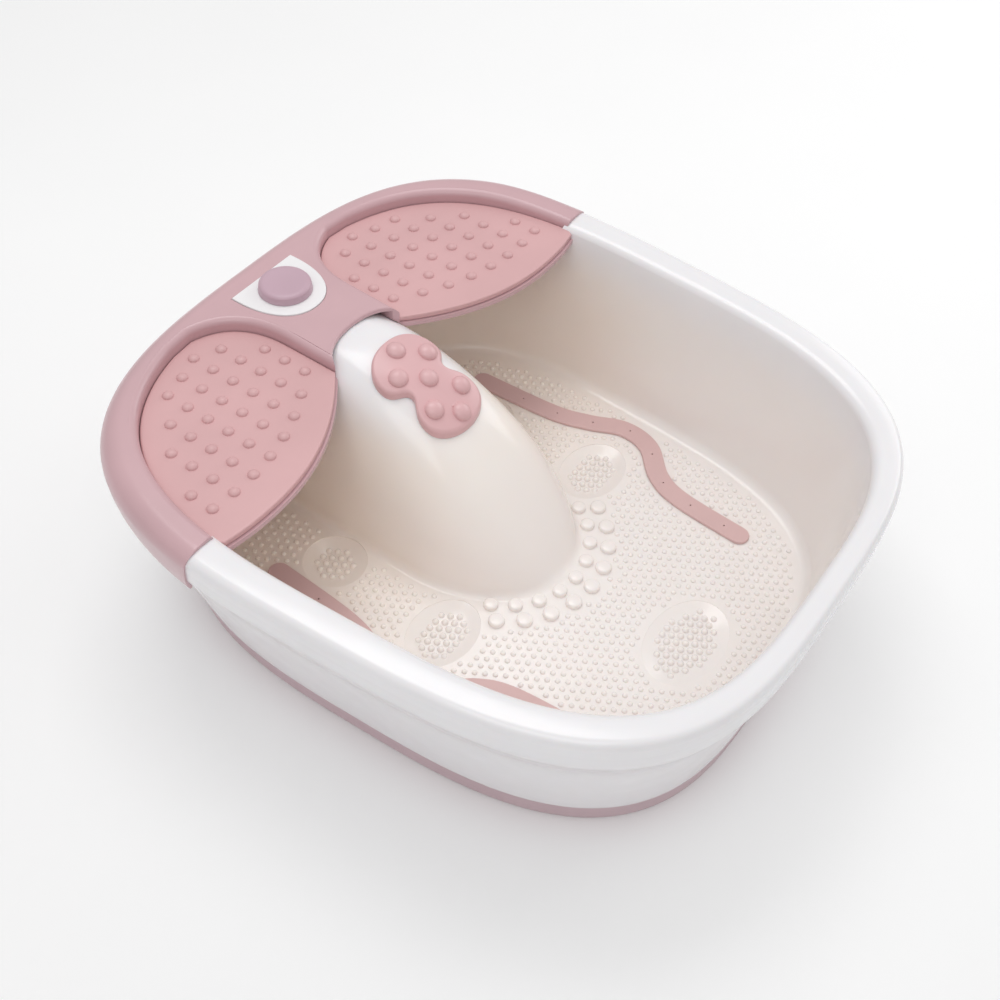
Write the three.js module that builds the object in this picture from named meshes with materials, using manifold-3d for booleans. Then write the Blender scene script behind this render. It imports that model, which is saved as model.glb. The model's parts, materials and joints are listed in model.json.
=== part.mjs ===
// Pedicure foot bath: a white tub with a central hump, a pink rear deck with two foot rests and a
// control console, and a pink base that closes the dry space with the blower, motor and heater.
// Millimetres, +Z up. The origin is on the ground under the middle of the bath, the deck is at +Y.
import * as THREE from "three";
import { mergeVertices } from "three/addons/utils/BufferGeometryUtils.js";
import Module from "manifold-3d";

const wasm = await Module();
wasm.setup();

// ---------- driving dimensions ----------
const GAP = 0.3; // between pieces that touch
const WALL = 3; // moulded wall thickness

// Outlines: superellipses that widen a little towards the rear, with squarer corners in front.
const RIM = { width: 181.4, front: 199.1, rear: 209, frontPower: 3.33, power: 3.12 };
const BASE = { width: 145.6, front: 174.6, rear: 189, frontPower: 3.03, power: 3.03 };
const MIDDLE_Y = -6.95; // where the front and rear halves of each outline meet
const TAPER = 0.07 / 200; // widening per mm of travel to the rear
const FRONT_INSET = 0.7; // share of an inset that counts in front, where walls are steeper
const OUTLINE_STEPS = 36;

const RIM_TOP = 140;
const BAND_TOP = 17; // top of the pink base band
const BASE_BOTTOM = 1.5;
const FLOOR_TOP = 34; // where the feet stand
const FLOOR_UNDER = FLOOR_TOP - WALL;
const LEDGE_TOP = 128.8; // carries the trays of the deck

// Basin: inset from the rim, with a draft down to the floor.
const BASIN_DRAFT = 0.165;
const BASIN_TOP = 134;
const BASIN = { width: 159.5, front: 183.6, rear: 174.5, frontPower: 3.41, power: 3.2 };

// Rear deck: stands proud of the tub's rim.
const SEAM_Y = 68.7; // where pink meets white at the sides
const DECK_PROUD = 1.2;
const DECK_WALL = 2.6;
const DECK_SEAM_Z = 142.2;
const DECK_REAR_Z = 144.7;
const DECK_LEVEL_Y = 135; // the deck is level behind this line
const SKIRT_BOTTOM = 106;
const UNDERCUT = 2.6; // how far the tub steps in where the deck covers it

// Foot rests.
const PAD_TOP = 136.5;
const PAD_THICK = 3.6;
const PAD = { ...RIM, width: RIM.width - 19.5, rear: RIM.rear - 14 };
const PAD_INNER_X = 30; // console side
const PAD_OUTER_X = 161;
const TRAY_WALL = 2.6;

// Hump between the feet.
const HUMP_REAR_Y = 113.7; // where its ridge passes under the console
const HUMP_LENGTH = 160;
const HUMP_HEIGHT = 107;
const HUMP_HALF = 56;
const HUMP_ROUND_Y = 26.7; // its plan is round in front of this line
const HUMP_END_Y = 172;

// Console: selector switch and knob.
const KNOB_Y = 164.2;
const KNOB_R = 16.4;
const KNOB_TOP = 151.2;
const BEZEL_SEAT = 143.4;
const BEZEL_TOP = 145.6;
const SWITCH_SHAFT_R = 3;
const SWITCH_TOP = DECK_REAR_Z - DECK_WALL - GAP;
const SWITCH_NUT_TOP = 147;
const WELL = { half: 23.5, front: 121, rear: 181, floor: 106 };

// Massage head: a plate over the hump, on two pegs.
const ATTACHMENT_GAP = 0.4;
const ATTACHMENT_THICK = 4.6;
const ATTACHMENT_PEGS = [72, 41];
const PEG_R = 4;
const DOME_R = 5.8;
const MIDDLE_DOMES = [80.5, 56.7, 32.8];
const SIDE_DOMES = [
  [13.8, 68],
  [12.8, 42.8],
];

// Drive under the hump: blower below, motor above, on one upright axis.
const MOTOR_Y = 62;
const MOTOR_R = 21;
const SHAFT_R = 2;
const BRACKET_Z = 33;
const POST_RADIUS = 42;
const BLOWER_R = 34;
const NOZZLE_Z = 17;

// Bubble strips on the floor, fed through a spigot.
const STRIP_WIDTH = 13.4;
const STRIP_THICK = 1.8;
const SPIGOT = new THREE.Vector2(107.5, 35);
const STRIP_LINE = [
  [104, 89],
  [107.5, 35],
  [114.5, 10],
  [123.5, -12],
  [119.5, -33],
  [101, -52],
  [92.5, -73],
  [89, -117],
];

const FOOT_R = 10;
const BASE_SCREWS = [
  [80, -140],
  [126, -5],
  [80, 135],
];
const DECK_SCREWS = [
  [55, 174],
  [105, 162],
];
const GLAND = { x: 45, z: 34, flange: 186 }; // where the mains cord enters
const FEET = [
  [92, -118],
  [92, 112],
];

// ---------- materials ----------
const finish = (color, roughness, metalness = 0) =>
  new THREE.MeshStandardMaterial({ color, roughness, metalness });
const whitePlastic = finish(0xf1eff0, 0.22);
const pinkPlastic = finish(0xd9aab3, 0.28);
const pinkPad = finish(0xe0b0b1, 0.45);
const lilacPlastic = finish(0xc9a6b6, 0.35);
const stripPink = finish(0xcfa3a8, 0.4);
const rubber = finish(0x8d8d90, 0.85);
const blackPlastic = finish(0x2b2b2d, 0.55);
const steel = finish(0xb9bcc0, 0.35, 1);
const aluminium = finish(0xc8cacc, 0.45, 1);
const greyPlastic = finish(0xa9abad, 0.5);
const siliconeHose = finish(0xe4e2dc, 0.6);

// ---------- solids ----------
const WELD = 1e-4;

function manifoldOf(vertProperties, triVerts) {
  const numbers = Uint32Array.from(triVerts);
  return new wasm.Manifold(new wasm.Mesh({ numProp: 3, vertProperties, triVerts: numbers }));
}

// A closed geometry as a solid with its faces outwards.
function solid(geometry) {
  const loose = geometry.index ? geometry.toNonIndexed() : geometry;
  const bare = new THREE.BufferGeometry().setAttribute("position", loose.getAttribute("position"));
  const merged = mergeVertices(bare, WELD);
  const corners = merged.index.array;
  const faces = [];
  for (let i = 0; i < corners.length; i += 3) {
    const [a, b, c] = corners.slice(i, i + 3);
    if (a !== b && b !== c && c !== a) faces.push(a, b, c);
  }
  const points = merged.attributes.position.array;
  const made = manifoldOf(points, faces);
  return made.volume() < 0 ? manifoldOf(points, faces.reverse()) : made;
}

function geometryOf(body) {
  const { vertProperties, triVerts } = body.getMesh();
  const geometry = new THREE.BufferGeometry();
  geometry.setAttribute("position", new THREE.BufferAttribute(vertProperties, 3));
  geometry.setIndex(new THREE.BufferAttribute(triVerts, 1));
  geometry.computeVertexNormals();
  return geometry;
}

const join = (bodies) => bodies.reduce((whole, body) => whole.add(body));
const cut = (body, tools) => tools.reduce((left, tool) => left.subtract(tool), body);

// Skin over a row of rings with the same number of points, closed at both ends.
function loft(rings) {
  const count = rings[0].length;
  const points = [];
  const faces = [];
  for (const ring of rings) points.push(...ring);
  for (let r = 0; r + 1 < rings.length; r++) {
    for (let i = 0; i < count; i++) {
      const a = r * count + i;
      const b = r * count + ((i + 1) % count);
      faces.push(a, b, b + count, a, b + count, a + count);
    }
  }
  const closeEnd = (ring, first, flip) => {
    const centre = ring.reduce((sum, p) => sum.add(p), new THREE.Vector3());
    const hub = points.push(centre.divideScalar(count)) - 1;
    for (let i = 0; i < count; i++) {
      const a = first + i;
      const b = first + ((i + 1) % count);
      faces.push(hub, flip ? b : a, flip ? a : b);
    }
  };
  closeEnd(rings[0], 0, true);
  closeEnd(rings.at(-1), (rings.length - 1) * count, false);
  const geometry = new THREE.BufferGeometry().setFromPoints(points);
  geometry.setIndex(faces);
  return solid(geometry);
}

// Outline in plan, extruded from one height to another.
function prism(shape, bottom, top) {
  const geometry = new THREE.ExtrudeGeometry(shape, {
    depth: top - bottom,
    bevelEnabled: false,
    curveSegments: 6,
  });
  return solid(geometry.translate(0, 0, bottom));
}

function box(x0, x1, y0, y1, z0, z1) {
  const geometry = new THREE.BoxGeometry(x1 - x0, y1 - y0, z1 - z0);
  return solid(geometry.translate((x0 + x1) / 2, (y0 + y1) / 2, (z0 + z1) / 2));
}

// Profile of [radius, height] points turned about an upright axis at (x, y).
function turned(profile, x = 0, y = 0, sides = 16) {
  const line = profile.map(([radius, height]) => new THREE.Vector2(radius, height));
  return solid(new THREE.LatheGeometry(line, sides).rotateX(Math.PI / 2).translate(x, y, 0));
}

const rod = (radius, bottom, top, x = 0, y = 0, sides = 16) =>
  turned([[0, bottom], [radius, bottom], [radius, top], [0, top]], x, y, sides);

const ringRod = (inner, outer, bottom, top, x = 0, y = 0, sides = 16) =>
  turned(
    [[inner, bottom], [outer, bottom], [outer, top], [inner, top], [inner, bottom]],
    x,
    y,
    sides,
  );

// Round bar along X or Y.
function bar(axis, radius, from, to, u, z, sides = 14) {
  const geometry = new THREE.CylinderGeometry(radius, radius, to - from, sides);
  if (axis === "x") geometry.rotateZ(Math.PI / 2).translate((from + to) / 2, u, z);
  else geometry.translate(u, (from + to) / 2, z);
  return solid(geometry);
}

// Tube along a curve, hollow where a bore is given.
function tube(curve, radius, bore, sides, steps) {
  const section = new THREE.Shape();
  section.absarc(0, 0, radius, 0, 2 * Math.PI, false);
  if (bore) {
    const hole = new THREE.Path();
    hole.absarc(0, 0, bore, 0, 2 * Math.PI, true);
    section.holes.push(hole);
  }
  const options = { steps, curveSegments: sides / 2, extrudePath: curve };
  return solid(new THREE.ExtrudeGeometry(section, options));
}

const bothSides = (places) => places.flatMap(([x, y]) => [[-x, y], [x, y]]);
const span = (side, from, to) => (side > 0 ? [from, to] : [-to, -from]);

const smoothCurve = (points) =>
  new THREE.CatmullRomCurve3(points.map(([x, y, z]) => new THREE.Vector3(x, y, z)));

// ---------- outlines ----------
// Point of a tapered superellipse at the angle turn, brought in by inset.
function outlinePoint(turn, shape, inset, z) {
  const c = Math.cos(turn);
  const s = Math.sin(turn);
  const power = 2 / (s < 0 ? shape.frontPower : shape.power);
  const reach = s < 0 ? shape.front - inset * FRONT_INSET : shape.rear - inset;
  const y = reach * Math.sign(s) * Math.abs(s) ** power;
  const width = (shape.width - inset) * (1 + TAPER * y);
  return new THREE.Vector3(width * Math.sign(c) * Math.abs(c) ** power, y + MIDDLE_Y, z);
}

function mixedShape(share) {
  const mixed = {};
  for (const key of Object.keys(RIM)) mixed[key] = THREE.MathUtils.lerp(RIM[key], BASE[key], share);
  return mixed;
}

// Angles round an outline, with a close pair at each side seam of the deck.
const seamTurn = Math.asin(((SEAM_Y - MIDDLE_Y) / RIM.rear) ** (RIM.power / 2));
const SEAM_STEP = 0.004;
const turns = [];
for (let i = 0; i < OUTLINE_STEPS; i++) turns.push(((i + 0.5) * 2 * Math.PI) / OUTLINE_STEPS);
for (const side of [seamTurn, Math.PI - seamTurn]) turns.push(side - SEAM_STEP, side + SEAM_STEP);
turns.sort((a, b) => a - b);
const underDeck = (turn) => turn > seamTurn && turn < Math.PI - seamTurn;

const ringAt = (shape, inset, z) => turns.map((turn) => outlinePoint(turn, shape, inset, z));

// ---------- tub ----------
// Outer wall profile: how far it has drawn in from the rim outline to the base outline.
const OUTER_PROFILE = [
  [0.97, BAND_TOP + GAP],
  [0.64, 60],
  [0.34, 95],
  [0.14, 109],
  [0.03, 119],
  [0, 133],
];

function tubRing(share, inset, z, deckInset, deckZ) {
  const shape = mixedShape(share);
  return turns.map((turn) =>
    underDeck(turn) ? outlinePoint(turn, shape, deckInset, deckZ) : outlinePoint(turn, shape, inset, z),
  );
}

function basinRing(z, outward, floorInset = 0) {
  const inset = (BASIN_TOP - z) * BASIN_DRAFT - outward + floorInset;
  return ringAt(BASIN, inset, z);
}

function tubSheet() {
  const under = [
    basinRing(FLOOR_UNDER, WALL, 9),
    basinRing(FLOOR_UNDER + 4, WALL, 2),
    basinRing(48, WALL),
    basinRing(LEDGE_TOP - WALL, WALL),
    tubRing(0, 18.6, 132.5, 8, LEDGE_TOP - WALL),
    tubRing(0, 14, 137, 7.6, 131.5),
    tubRing(0, 8, 137, 7, 133.4),
    tubRing(0, WALL, 132, 6.2, 132),
    ...OUTER_PROFILE.slice(0, -1)
      .reverse()
      .map(([share, z]) => tubRing(share, WALL, z, WALL + UNDERCUT, z)),
  ];
  const outer = OUTER_PROFILE.map(([share, z]) => {
    const tucked = z > SKIRT_BOTTOM - 6 ? UNDERCUT : 0;
    return tubRing(share, 0, z, tucked, z);
  });
  const rim = [
    tubRing(0, 3, 138, 5, 135.4),
    tubRing(0, 8, RIM_TOP, 7.5, 137.2),
    tubRing(0, 14, RIM_TOP, 9, 137.2),
    tubRing(0, 18.6, 138, 10, 135.8),
    tubRing(0, 21.3, BASIN_TOP, 10.8, LEDGE_TOP),
  ];
  const basin = [
    basinRing(LEDGE_TOP, 0),
    basinRing(90, 0),
    basinRing(46, 0),
    basinRing(FLOOR_TOP + 4, 0, 2),
    basinRing(FLOOR_TOP, 0, 8),
  ];
  return loft([...under, ...outer, ...rim, ...basin]);
}

// The ridge height above the floor, and the half width, at a place along the bath.
function humpHeight(y) {
  const travel = Math.max(0, (HUMP_REAR_Y - y) / HUMP_LENGTH);
  return HUMP_HEIGHT * (1 - travel ** 2.2);
}

function humpHalf(y) {
  const travel = Math.max(0, (HUMP_ROUND_Y - y) / (HUMP_ROUND_Y - HUMP_REAR_Y + HUMP_LENGTH));
  return HUMP_HALF * Math.sqrt(Math.max(0, 1 - travel ** 2));
}

// The hump grown outwards by grow (or shrunk, where it is negative), down to the height bottom.
function hump(grow, bottom) {
  const stations = [HUMP_END_Y];
  const steps = 9;
  const archSteps = 14;
  for (let i = 0; i < steps; i++) {
    stations.push(HUMP_REAR_Y - HUMP_LENGTH * Math.sin((Math.PI / 2) * (i / steps)));
  }
  stations.push(HUMP_REAR_Y - HUMP_LENGTH * 0.997);
  const shift = (y) => y - grow * Math.max(0, (HUMP_REAR_Y - y) / HUMP_LENGTH) ** 3;
  const rings = stations.map((y) => {
    const half = humpHalf(y) + grow;
    const height = Math.max(1, humpHeight(y) + grow);
    const ring = [new THREE.Vector3(half, shift(y), bottom)];
    for (let i = 0; i <= archSteps; i++) {
      const turn = (Math.PI * i) / archSteps;
      const x = half * Math.sign(Math.cos(turn)) * Math.abs(Math.cos(turn)) ** (2 / 3);
      const z = FLOOR_TOP + height * Math.sin(turn) ** (2 / 1.8);
      ring.push(new THREE.Vector3(x, shift(y), z));
    }
    ring.push(new THREE.Vector3(-half, shift(y), bottom));
    return ring;
  });
  return loft(rings);
}

function tubShell() {
  const wellBlock = box(
    -WELL.half - 2.4,
    WELL.half + 2.4,
    WELL.front - WALL,
    WELL.rear + WALL,
    WELL.floor - WALL,
    PAD_TOP,
  );
  const wellPocket = box(-WELL.half, WELL.half, WELL.front, WELL.rear, WELL.floor, 200);
  const dryCavity = hump(-WALL, FLOOR_UNDER - 8).subtract(wellBlock);
  const body = tubSheet().add(hump(0, FLOOR_UNDER + 1)).subtract(dryCavity).add(wellBlock);
  const bosses = bothSides(BASE_SCREWS).map(([x, y]) => rod(5, 4.9, FLOOR_UNDER + 1, x, y, 12));
  const holes = [
    wellPocket,
    rod(5, WELL.floor - 8, WELL.floor + 8, 0, KNOB_Y, 16),
    ...bothSides(BASE_SCREWS).map(([x, y]) => rod(1.9, 0, 20, x, y, 8)),
    ...bothSides(DECK_SCREWS).map(([x, y]) => rod(2.2, 120, 131, x, y, 8)),
    ...bothSides([[SPIGOT.x, SPIGOT.y]]).map(([x, y]) => rod(5, 28, 37, x, y, 12)),
    ...ATTACHMENT_PEGS.map((y) => rod(PEG_R + 0.5, 100, 150, 0, y, 16)),
    bar("y", 7, 165, 200, GLAND.x, GLAND.z),
  ];
  return cut(join([body, ...bosses]), holes);
}

// ---------- rear deck ----------
// Front edge of the foot rests, bowed to the rear beside the hump.
const restEdgeY = (x) => 61.5 + 33 * (Math.abs(Math.abs(x) - 130) / 92) ** 2.2;

const deckTopZ = (y) => {
  const climb = THREE.MathUtils.smoothstep(y, SEAM_Y, DECK_LEVEL_Y);
  return THREE.MathUtils.lerp(DECK_SEAM_Z, DECK_REAR_Z, climb);
};

// Crowned lid over the whole outline, shrunk by inward for its inner side.
function lid(inward, bottom) {
  const profile = [
    [4, bottom],
    [0.3, 120],
    [-DECK_PROUD, 133],
    [1, null, -3],
    [7, null, 0],
    [13, null, 0],
  ];
  const rings = profile.map(([inset, z, drop]) =>
    ringAt(RIM, inset + inward, z ?? 0).map((p) => {
      if (z === null) p.z = deckTopZ(p.y) + drop - inward;
      return p;
    }),
  );
  // Rings that follow the climb of the deck across its width.
  for (const share of [0.75, 0.5, 0.25]) {
    rings.push(
      rings[profile.length - 1].map((p) => {
        const q = new THREE.Vector3(p.x * share, MIDDLE_Y + (p.y - MIDDLE_Y) * share, 0);
        q.z = deckTopZ(q.y) - inward;
        return q;
      }),
    );
  }
  return loft(rings);
}

// Plan of the deck: from the side seams along the foot rests to the notch round the hump.
function deckPlan() {
  const wide = 200;
  const plan = new THREE.Shape();
  plan.moveTo(-wide, SEAM_Y);
  plan.lineTo(-PAD_OUTER_X - 2, SEAM_Y);
  const steps = 10;
  for (let i = 0; i <= steps; i++) {
    const x = THREE.MathUtils.lerp(-PAD_OUTER_X, -31, i / steps);
    plan.lineTo(x, restEdgeY(x) - 1.5);
  }
  plan.quadraticCurveTo(-24, 114.3, 0, 114.3);
  plan.quadraticCurveTo(24, 114.3, 31, restEdgeY(31) - 1.5);
  for (let i = 1; i <= steps; i++) {
    const x = THREE.MathUtils.lerp(31, PAD_OUTER_X, i / steps);
    plan.lineTo(x, restEdgeY(x) - 1.5);
  }
  plan.lineTo(PAD_OUTER_X + 2, SEAM_Y);
  plan.lineTo(wide, SEAM_Y);
  plan.lineTo(wide, 230);
  plan.lineTo(-wide, 230);
  plan.closePath();
  return plan;
}

// Outline of a foot rest on side +1 or -1, grown by grow, its front edge moved by lip.
function restPlan(side, grow, lip) {
  const innerX = PAD_INNER_X - grow;
  const points = [];
  const steps = 10;
  for (let i = 0; i <= steps; i++) {
    const x = THREE.MathUtils.lerp(PAD_OUTER_X + grow, innerX, i / steps);
    points.push(new THREE.Vector2(x, restEdgeY(x) + lip));
  }
  const corner = new THREE.QuadraticBezierCurve(
    new THREE.Vector2(innerX, 140),
    new THREE.Vector2(innerX + 1, 176 + grow),
    new THREE.Vector2(62, 183.6 + grow),
  );
  points.push(...corner.getPoints(8));
  for (let i = 0; i <= steps; i++) {
    const turn = THREE.MathUtils.degToRad(THREE.MathUtils.lerp(75.5, 13.2, i / steps));
    const p = outlinePoint(turn, PAD, -grow, 0);
    points.push(new THREE.Vector2(p.x, p.y));
  }
  const plan = points.map((p) => new THREE.Vector2(side * p.x, p.y));
  return new THREE.Shape(side > 0 ? plan : plan.reverse());
}

const TRAY_FLOOR = PAD_TOP - PAD_THICK - GAP;
const TRAY_BOTTOM = LEDGE_TOP + 0.7;

function deckCover() {
  const shell = lid(0, SKIRT_BOTTOM).subtract(lid(DECK_WALL, SKIRT_BOTTOM - 20));
  const crown = lid(0, SKIRT_BOTTOM);
  const trays = [-1, 1].map((side) => prism(restPlan(side, TRAY_WALL, -1.5), TRAY_BOTTOM, 160));
  const filled = shell.add(crown.intersect(join(trays)));
  const kept = filled.intersect(prism(deckPlan(), SKIRT_BOTTOM - 10, 170));
  const pockets = [-1, 1].map((side) => prism(restPlan(side, GAP, -20), TRAY_FLOOR, 170));
  const holes = [
    ...pockets,
    prism(bezelPlan(GAP), BEZEL_SEAT, 170),
    rod(5, 130, 150, 0, KNOB_Y, 20),
    hump(GAP, FLOOR_TOP),
    ...bothSides(DECK_SCREWS).map(([x, y]) => rod(1.7, 128, 132.2, x, y, 8)),
  ];
  return cut(kept, holes);
}

// Foot rest plate that lies in its tray.
const footRest = (side) => prism(restPlan(side, 0, 0), PAD_TOP - PAD_THICK, PAD_TOP);

// ---------- console ----------
// D-shaped bezel, straight at the rear and round at the front.
function bezelPlan(grow) {
  const half = 26 + grow;
  const rear = 183.3 + grow;
  const front = 139.7 - grow;
  const plan = new THREE.Shape();
  plan.moveTo(-half, rear);
  plan.bezierCurveTo(-half - 1.5, 158, -18.5, front, 0, front);
  plan.bezierCurveTo(18.5, front, half + 1.5, 158, half, rear);
  plan.closePath();
  return plan;
}

const dialBezel = () =>
  prism(bezelPlan(0), BEZEL_SEAT + GAP, BEZEL_TOP).subtract(rod(5, 130, 150, 0, KNOB_Y, 20));

function controlKnob() {
  const bottom = BEZEL_TOP + GAP;
  const bore = SWITCH_SHAFT_R + GAP;
  return turned(
    [
      [0, KNOB_TOP],
      [KNOB_R - 5, KNOB_TOP - 0.4],
      [KNOB_R - 1.6, KNOB_TOP - 1.6],
      [KNOB_R - 0.5, KNOB_TOP - 3],
      [KNOB_R, bottom],
      [KNOB_R - 2, bottom],
      [KNOB_R - 3, KNOB_TOP - 3],
      [bore + 2.2, KNOB_TOP - 3],
      [bore + 2.2, KNOB_TOP - 3.8],
      [bore, KNOB_TOP - 3.8],
      [bore, KNOB_TOP - 2],
      [0, KNOB_TOP - 2],
    ],
    0,
    KNOB_Y,
    28,
  );
}

function switchBody() {
  const body = rod(12.5, 114, SWITCH_TOP, 0, KNOB_Y, 24);
  const bushing = rod(4.6, SWITCH_TOP - 1, SWITCH_NUT_TOP, 0, KNOB_Y, 20);
  return body.add(bushing).subtract(rod(SWITCH_SHAFT_R + GAP, 124, 160, 0, KNOB_Y, 16));
}

const switchShaft = () => rod(SWITCH_SHAFT_R, 124.5, KNOB_TOP - 2.4, 0, KNOB_Y, 16);
const switchNut = () =>
  rod(7.6, BEZEL_TOP + GAP, SWITCH_NUT_TOP, 0, KNOB_Y, 6).subtract(rod(4.9, 140, 150, 0, KNOB_Y, 16));

// ---------- massage attachment ----------
// Peanut outline: a wide lobe at the rear, a narrower one in front.
function peanutPlan() {
  const plan = new THREE.Shape();
  plan.moveTo(0, 89.5);
  plan.bezierCurveTo(15, 89.5, 24.6, 82, 24.6, 71);
  plan.bezierCurveTo(24.6, 62, 15.5, 62, 15.5, 57);
  plan.bezierCurveTo(15.5, 52, 23, 51, 23, 41.5);
  plan.bezierCurveTo(23, 33, 14, 26.5, 0, 26.5);
  plan.bezierCurveTo(-14, 26.5, -23, 33, -23, 41.5);
  plan.bezierCurveTo(-23, 51, -15.5, 52, -15.5, 57);
  plan.bezierCurveTo(-15.5, 62, -24.6, 62, -24.6, 71);
  plan.bezierCurveTo(-24.6, 82, -15, 89.5, 0, 89.5);
  return plan;
}

function humpSurfaceZ(x, y, grow) {
  const share = Math.abs(x / (humpHalf(y) + grow)) ** 3;
  return FLOOR_TOP + (humpHeight(y) + grow) * (1 - share) ** (1 / 1.8);
}

function massageAttachment() {
  const outside = hump(ATTACHMENT_GAP + ATTACHMENT_THICK, FLOOR_TOP);
  const inside = hump(ATTACHMENT_GAP, FLOOR_TOP - 5);
  const plate = outside.subtract(inside).intersect(prism(peanutPlan(), 90, 170));
  const places = [...MIDDLE_DOMES.map((y) => [0, y]), ...bothSides(SIDE_DOMES)];
  const bumps = places.map(([x, y]) => {
    const top = humpSurfaceZ(x, y, ATTACHMENT_GAP + ATTACHMENT_THICK);
    const dome = new THREE.SphereGeometry(DOME_R, 8, 4).rotateX(Math.PI / 2).scale(1, 1, 0.5);
    return solid(dome.translate(x, y, top));
  });
  const pegs = ATTACHMENT_PEGS.map((y) => {
    const top = humpSurfaceZ(0, y, ATTACHMENT_GAP);
    return rod(PEG_R, top - 12, top + 3, 0, y, 14);
  });
  return join([plate, ...bumps, ...pegs]);
}

// ---------- bubble strips ----------
function stripPlan() {
  const line = new THREE.CatmullRomCurve3(STRIP_LINE.map(([x, y]) => new THREE.Vector3(x, y, 0)));
  const half = STRIP_WIDTH / 2;
  const steps = 20;
  const left = [];
  const right = [];
  for (let i = 0; i <= steps; i++) {
    const p = line.getPointAt(i / steps);
    const t = line.getTangentAt(i / steps);
    left.push(new THREE.Vector2(p.x - t.y * half, p.y + t.x * half));
    right.push(new THREE.Vector2(p.x + t.y * half, p.y - t.x * half));
  }
  const roundEnd = (u) => {
    const p = line.getPointAt(u);
    const t = line.getTangentAt(u);
    const heading = Math.atan2(t.y, t.x) + (u ? 0 : Math.PI);
    return [-60, -30, 0, 30, 60].map((degrees) => {
      const turn = heading + THREE.MathUtils.degToRad(degrees);
      return new THREE.Vector2(p.x + half * Math.cos(turn), p.y + half * Math.sin(turn));
    });
  };
  return new THREE.Shape([...right, ...roundEnd(1), ...left.reverse(), ...roundEnd(0)]);
}

function bubbleStrip(side) {
  const bottom = FLOOR_TOP + GAP;
  const plate = prism(stripPlan(), bottom, bottom + STRIP_THICK);
  const spigot = ringRod(3, 4.5, 18, bottom + 0.5, SPIGOT.x, SPIGOT.y, 16);
  const whole = plate.add(spigot);
  return side > 0 ? whole : solid(geometryOf(whole).scale(-1, 1, 1));
}

// ---------- base ----------
function basePlate() {
  const insides = [
    ringAt(BASE, WALL, BAND_TOP + 5),
    ringAt(BASE, WALL, BASE_BOTTOM + 6),
    ringAt(BASE, WALL + 3, BASE_BOTTOM + WALL),
  ];
  const shell = loft([
    ringAt(BASE, 4, BASE_BOTTOM),
    ringAt(BASE, 1, BASE_BOTTOM + 2.5),
    ringAt(BASE, 0, BAND_TOP),
  ]).subtract(loft(insides));
  const posts = MOTOR_POSTS.map(([x, y]) => rod(6, BASE_BOTTOM + 2, 28, x, y, 12));
  const holes = [
    ...MOTOR_POSTS.map(([x, y]) => rod(2.1, 10, 30, x, y, 8)),
    ...bothSides(BASE_SCREWS).flatMap(([x, y]) => [rod(2.2, 0, 8, x, y, 8), rod(4.2, 0, 3.4, x, y, 12)]),
    ...bothSides(FEET).map(([x, y]) => rod(FOOT_R + 0.6, 0, 3.3, x, y, 12)),
  ];
  return cut(join([shell, ...posts]), holes);
}

const foot = (x, y) => turned([[0, 0], [FOOT_R - 1, 0], [FOOT_R, 1], [FOOT_R, 3], [0, 3]], x, y, 12);

// Screw standing on its head, which reaches from head[0] up to head[1].
function screw(x, y, headR, head, shaftR, tip) {
  const [bottom, seat] = head;
  const profile = [[0, bottom], [headR, bottom], [headR, seat], [shaftR, seat], [shaftR, tip], [0, tip]];
  return turned(profile, x, y, 8);
}

const baseScrew = (x, y) => screw(x, y, 3.6, [1.7, 3.1], 1.6, 17);
const deckScrew = (x, y) => screw(x, y, 3.6, [123.4, 125.5], 1.4, 131.9);

// ---------- drive ----------
const MOTOR_POSTS = [90, 210, 330].map((degrees) => {
  const turn = THREE.MathUtils.degToRad(degrees);
  return [POST_RADIUS * Math.cos(turn), MOTOR_Y + POST_RADIUS * Math.sin(turn)];
});

function motorBracket() {
  const disc = rod(26, BRACKET_Z, BRACKET_Z + 2.5, 0, MOTOR_Y, 20);
  const lugs = MOTOR_POSTS.map(([x, y]) => rod(9, BRACKET_Z, BRACKET_Z + 2.5, x, y, 14));
  const arms = [90, 210, 330].map((degrees) => {
    const arm = new THREE.BoxGeometry(POST_RADIUS, 14, 2.5).translate(POST_RADIUS / 2, 0, 0);
    arm.rotateZ(THREE.MathUtils.degToRad(degrees));
    return solid(arm.translate(0, MOTOR_Y, BRACKET_Z + 1.25));
  });
  const holes = MOTOR_POSTS.map(([x, y]) => rod(2.4, 30, 40, x, y, 8));
  return cut(join([disc, ...lugs, ...arms]), [...holes, rod(4, 30, 40, 0, MOTOR_Y, 16)]);
}

const grommet = (x, y) => ringRod(2.6, 7, 28.3, BRACKET_Z - GAP, x, y, 12);
const motorScrew = (x, y) =>
  turned([[0, 39], [4.8, 39], [4.8, 35.8], [1.8, 35.8], [1.8, 14], [0, 14]], x, y, 8);

function motorCan() {
  const bottom = BRACKET_Z + 2.5 + GAP;
  const bore = SHAFT_R + 0.4;
  return turned(
    [
      [bore, bottom],
      [MOTOR_R, bottom],
      [MOTOR_R, 72],
      [7, 72],
      [7, 76],
      [bore, 76],
      [bore, bottom],
    ],
    0,
    MOTOR_Y,
    24,
  );
}

const motorShaft = () => rod(SHAFT_R, 11.6, 92, 0, MOTOR_Y, 12);

function eccentricWeight() {
  const sector = new THREE.Shape();
  sector.absarc(0, 0, 15, 0, Math.PI, false);
  sector.lineTo(-5, -5);
  sector.lineTo(5, -5);
  const whole = prism(sector, 79, 88);
  const placed = solid(geometryOf(whole).translate(0, MOTOR_Y, 0));
  return placed.subtract(rod(SHAFT_R + GAP, 70, 95, 0, MOTOR_Y, 12));
}

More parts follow.
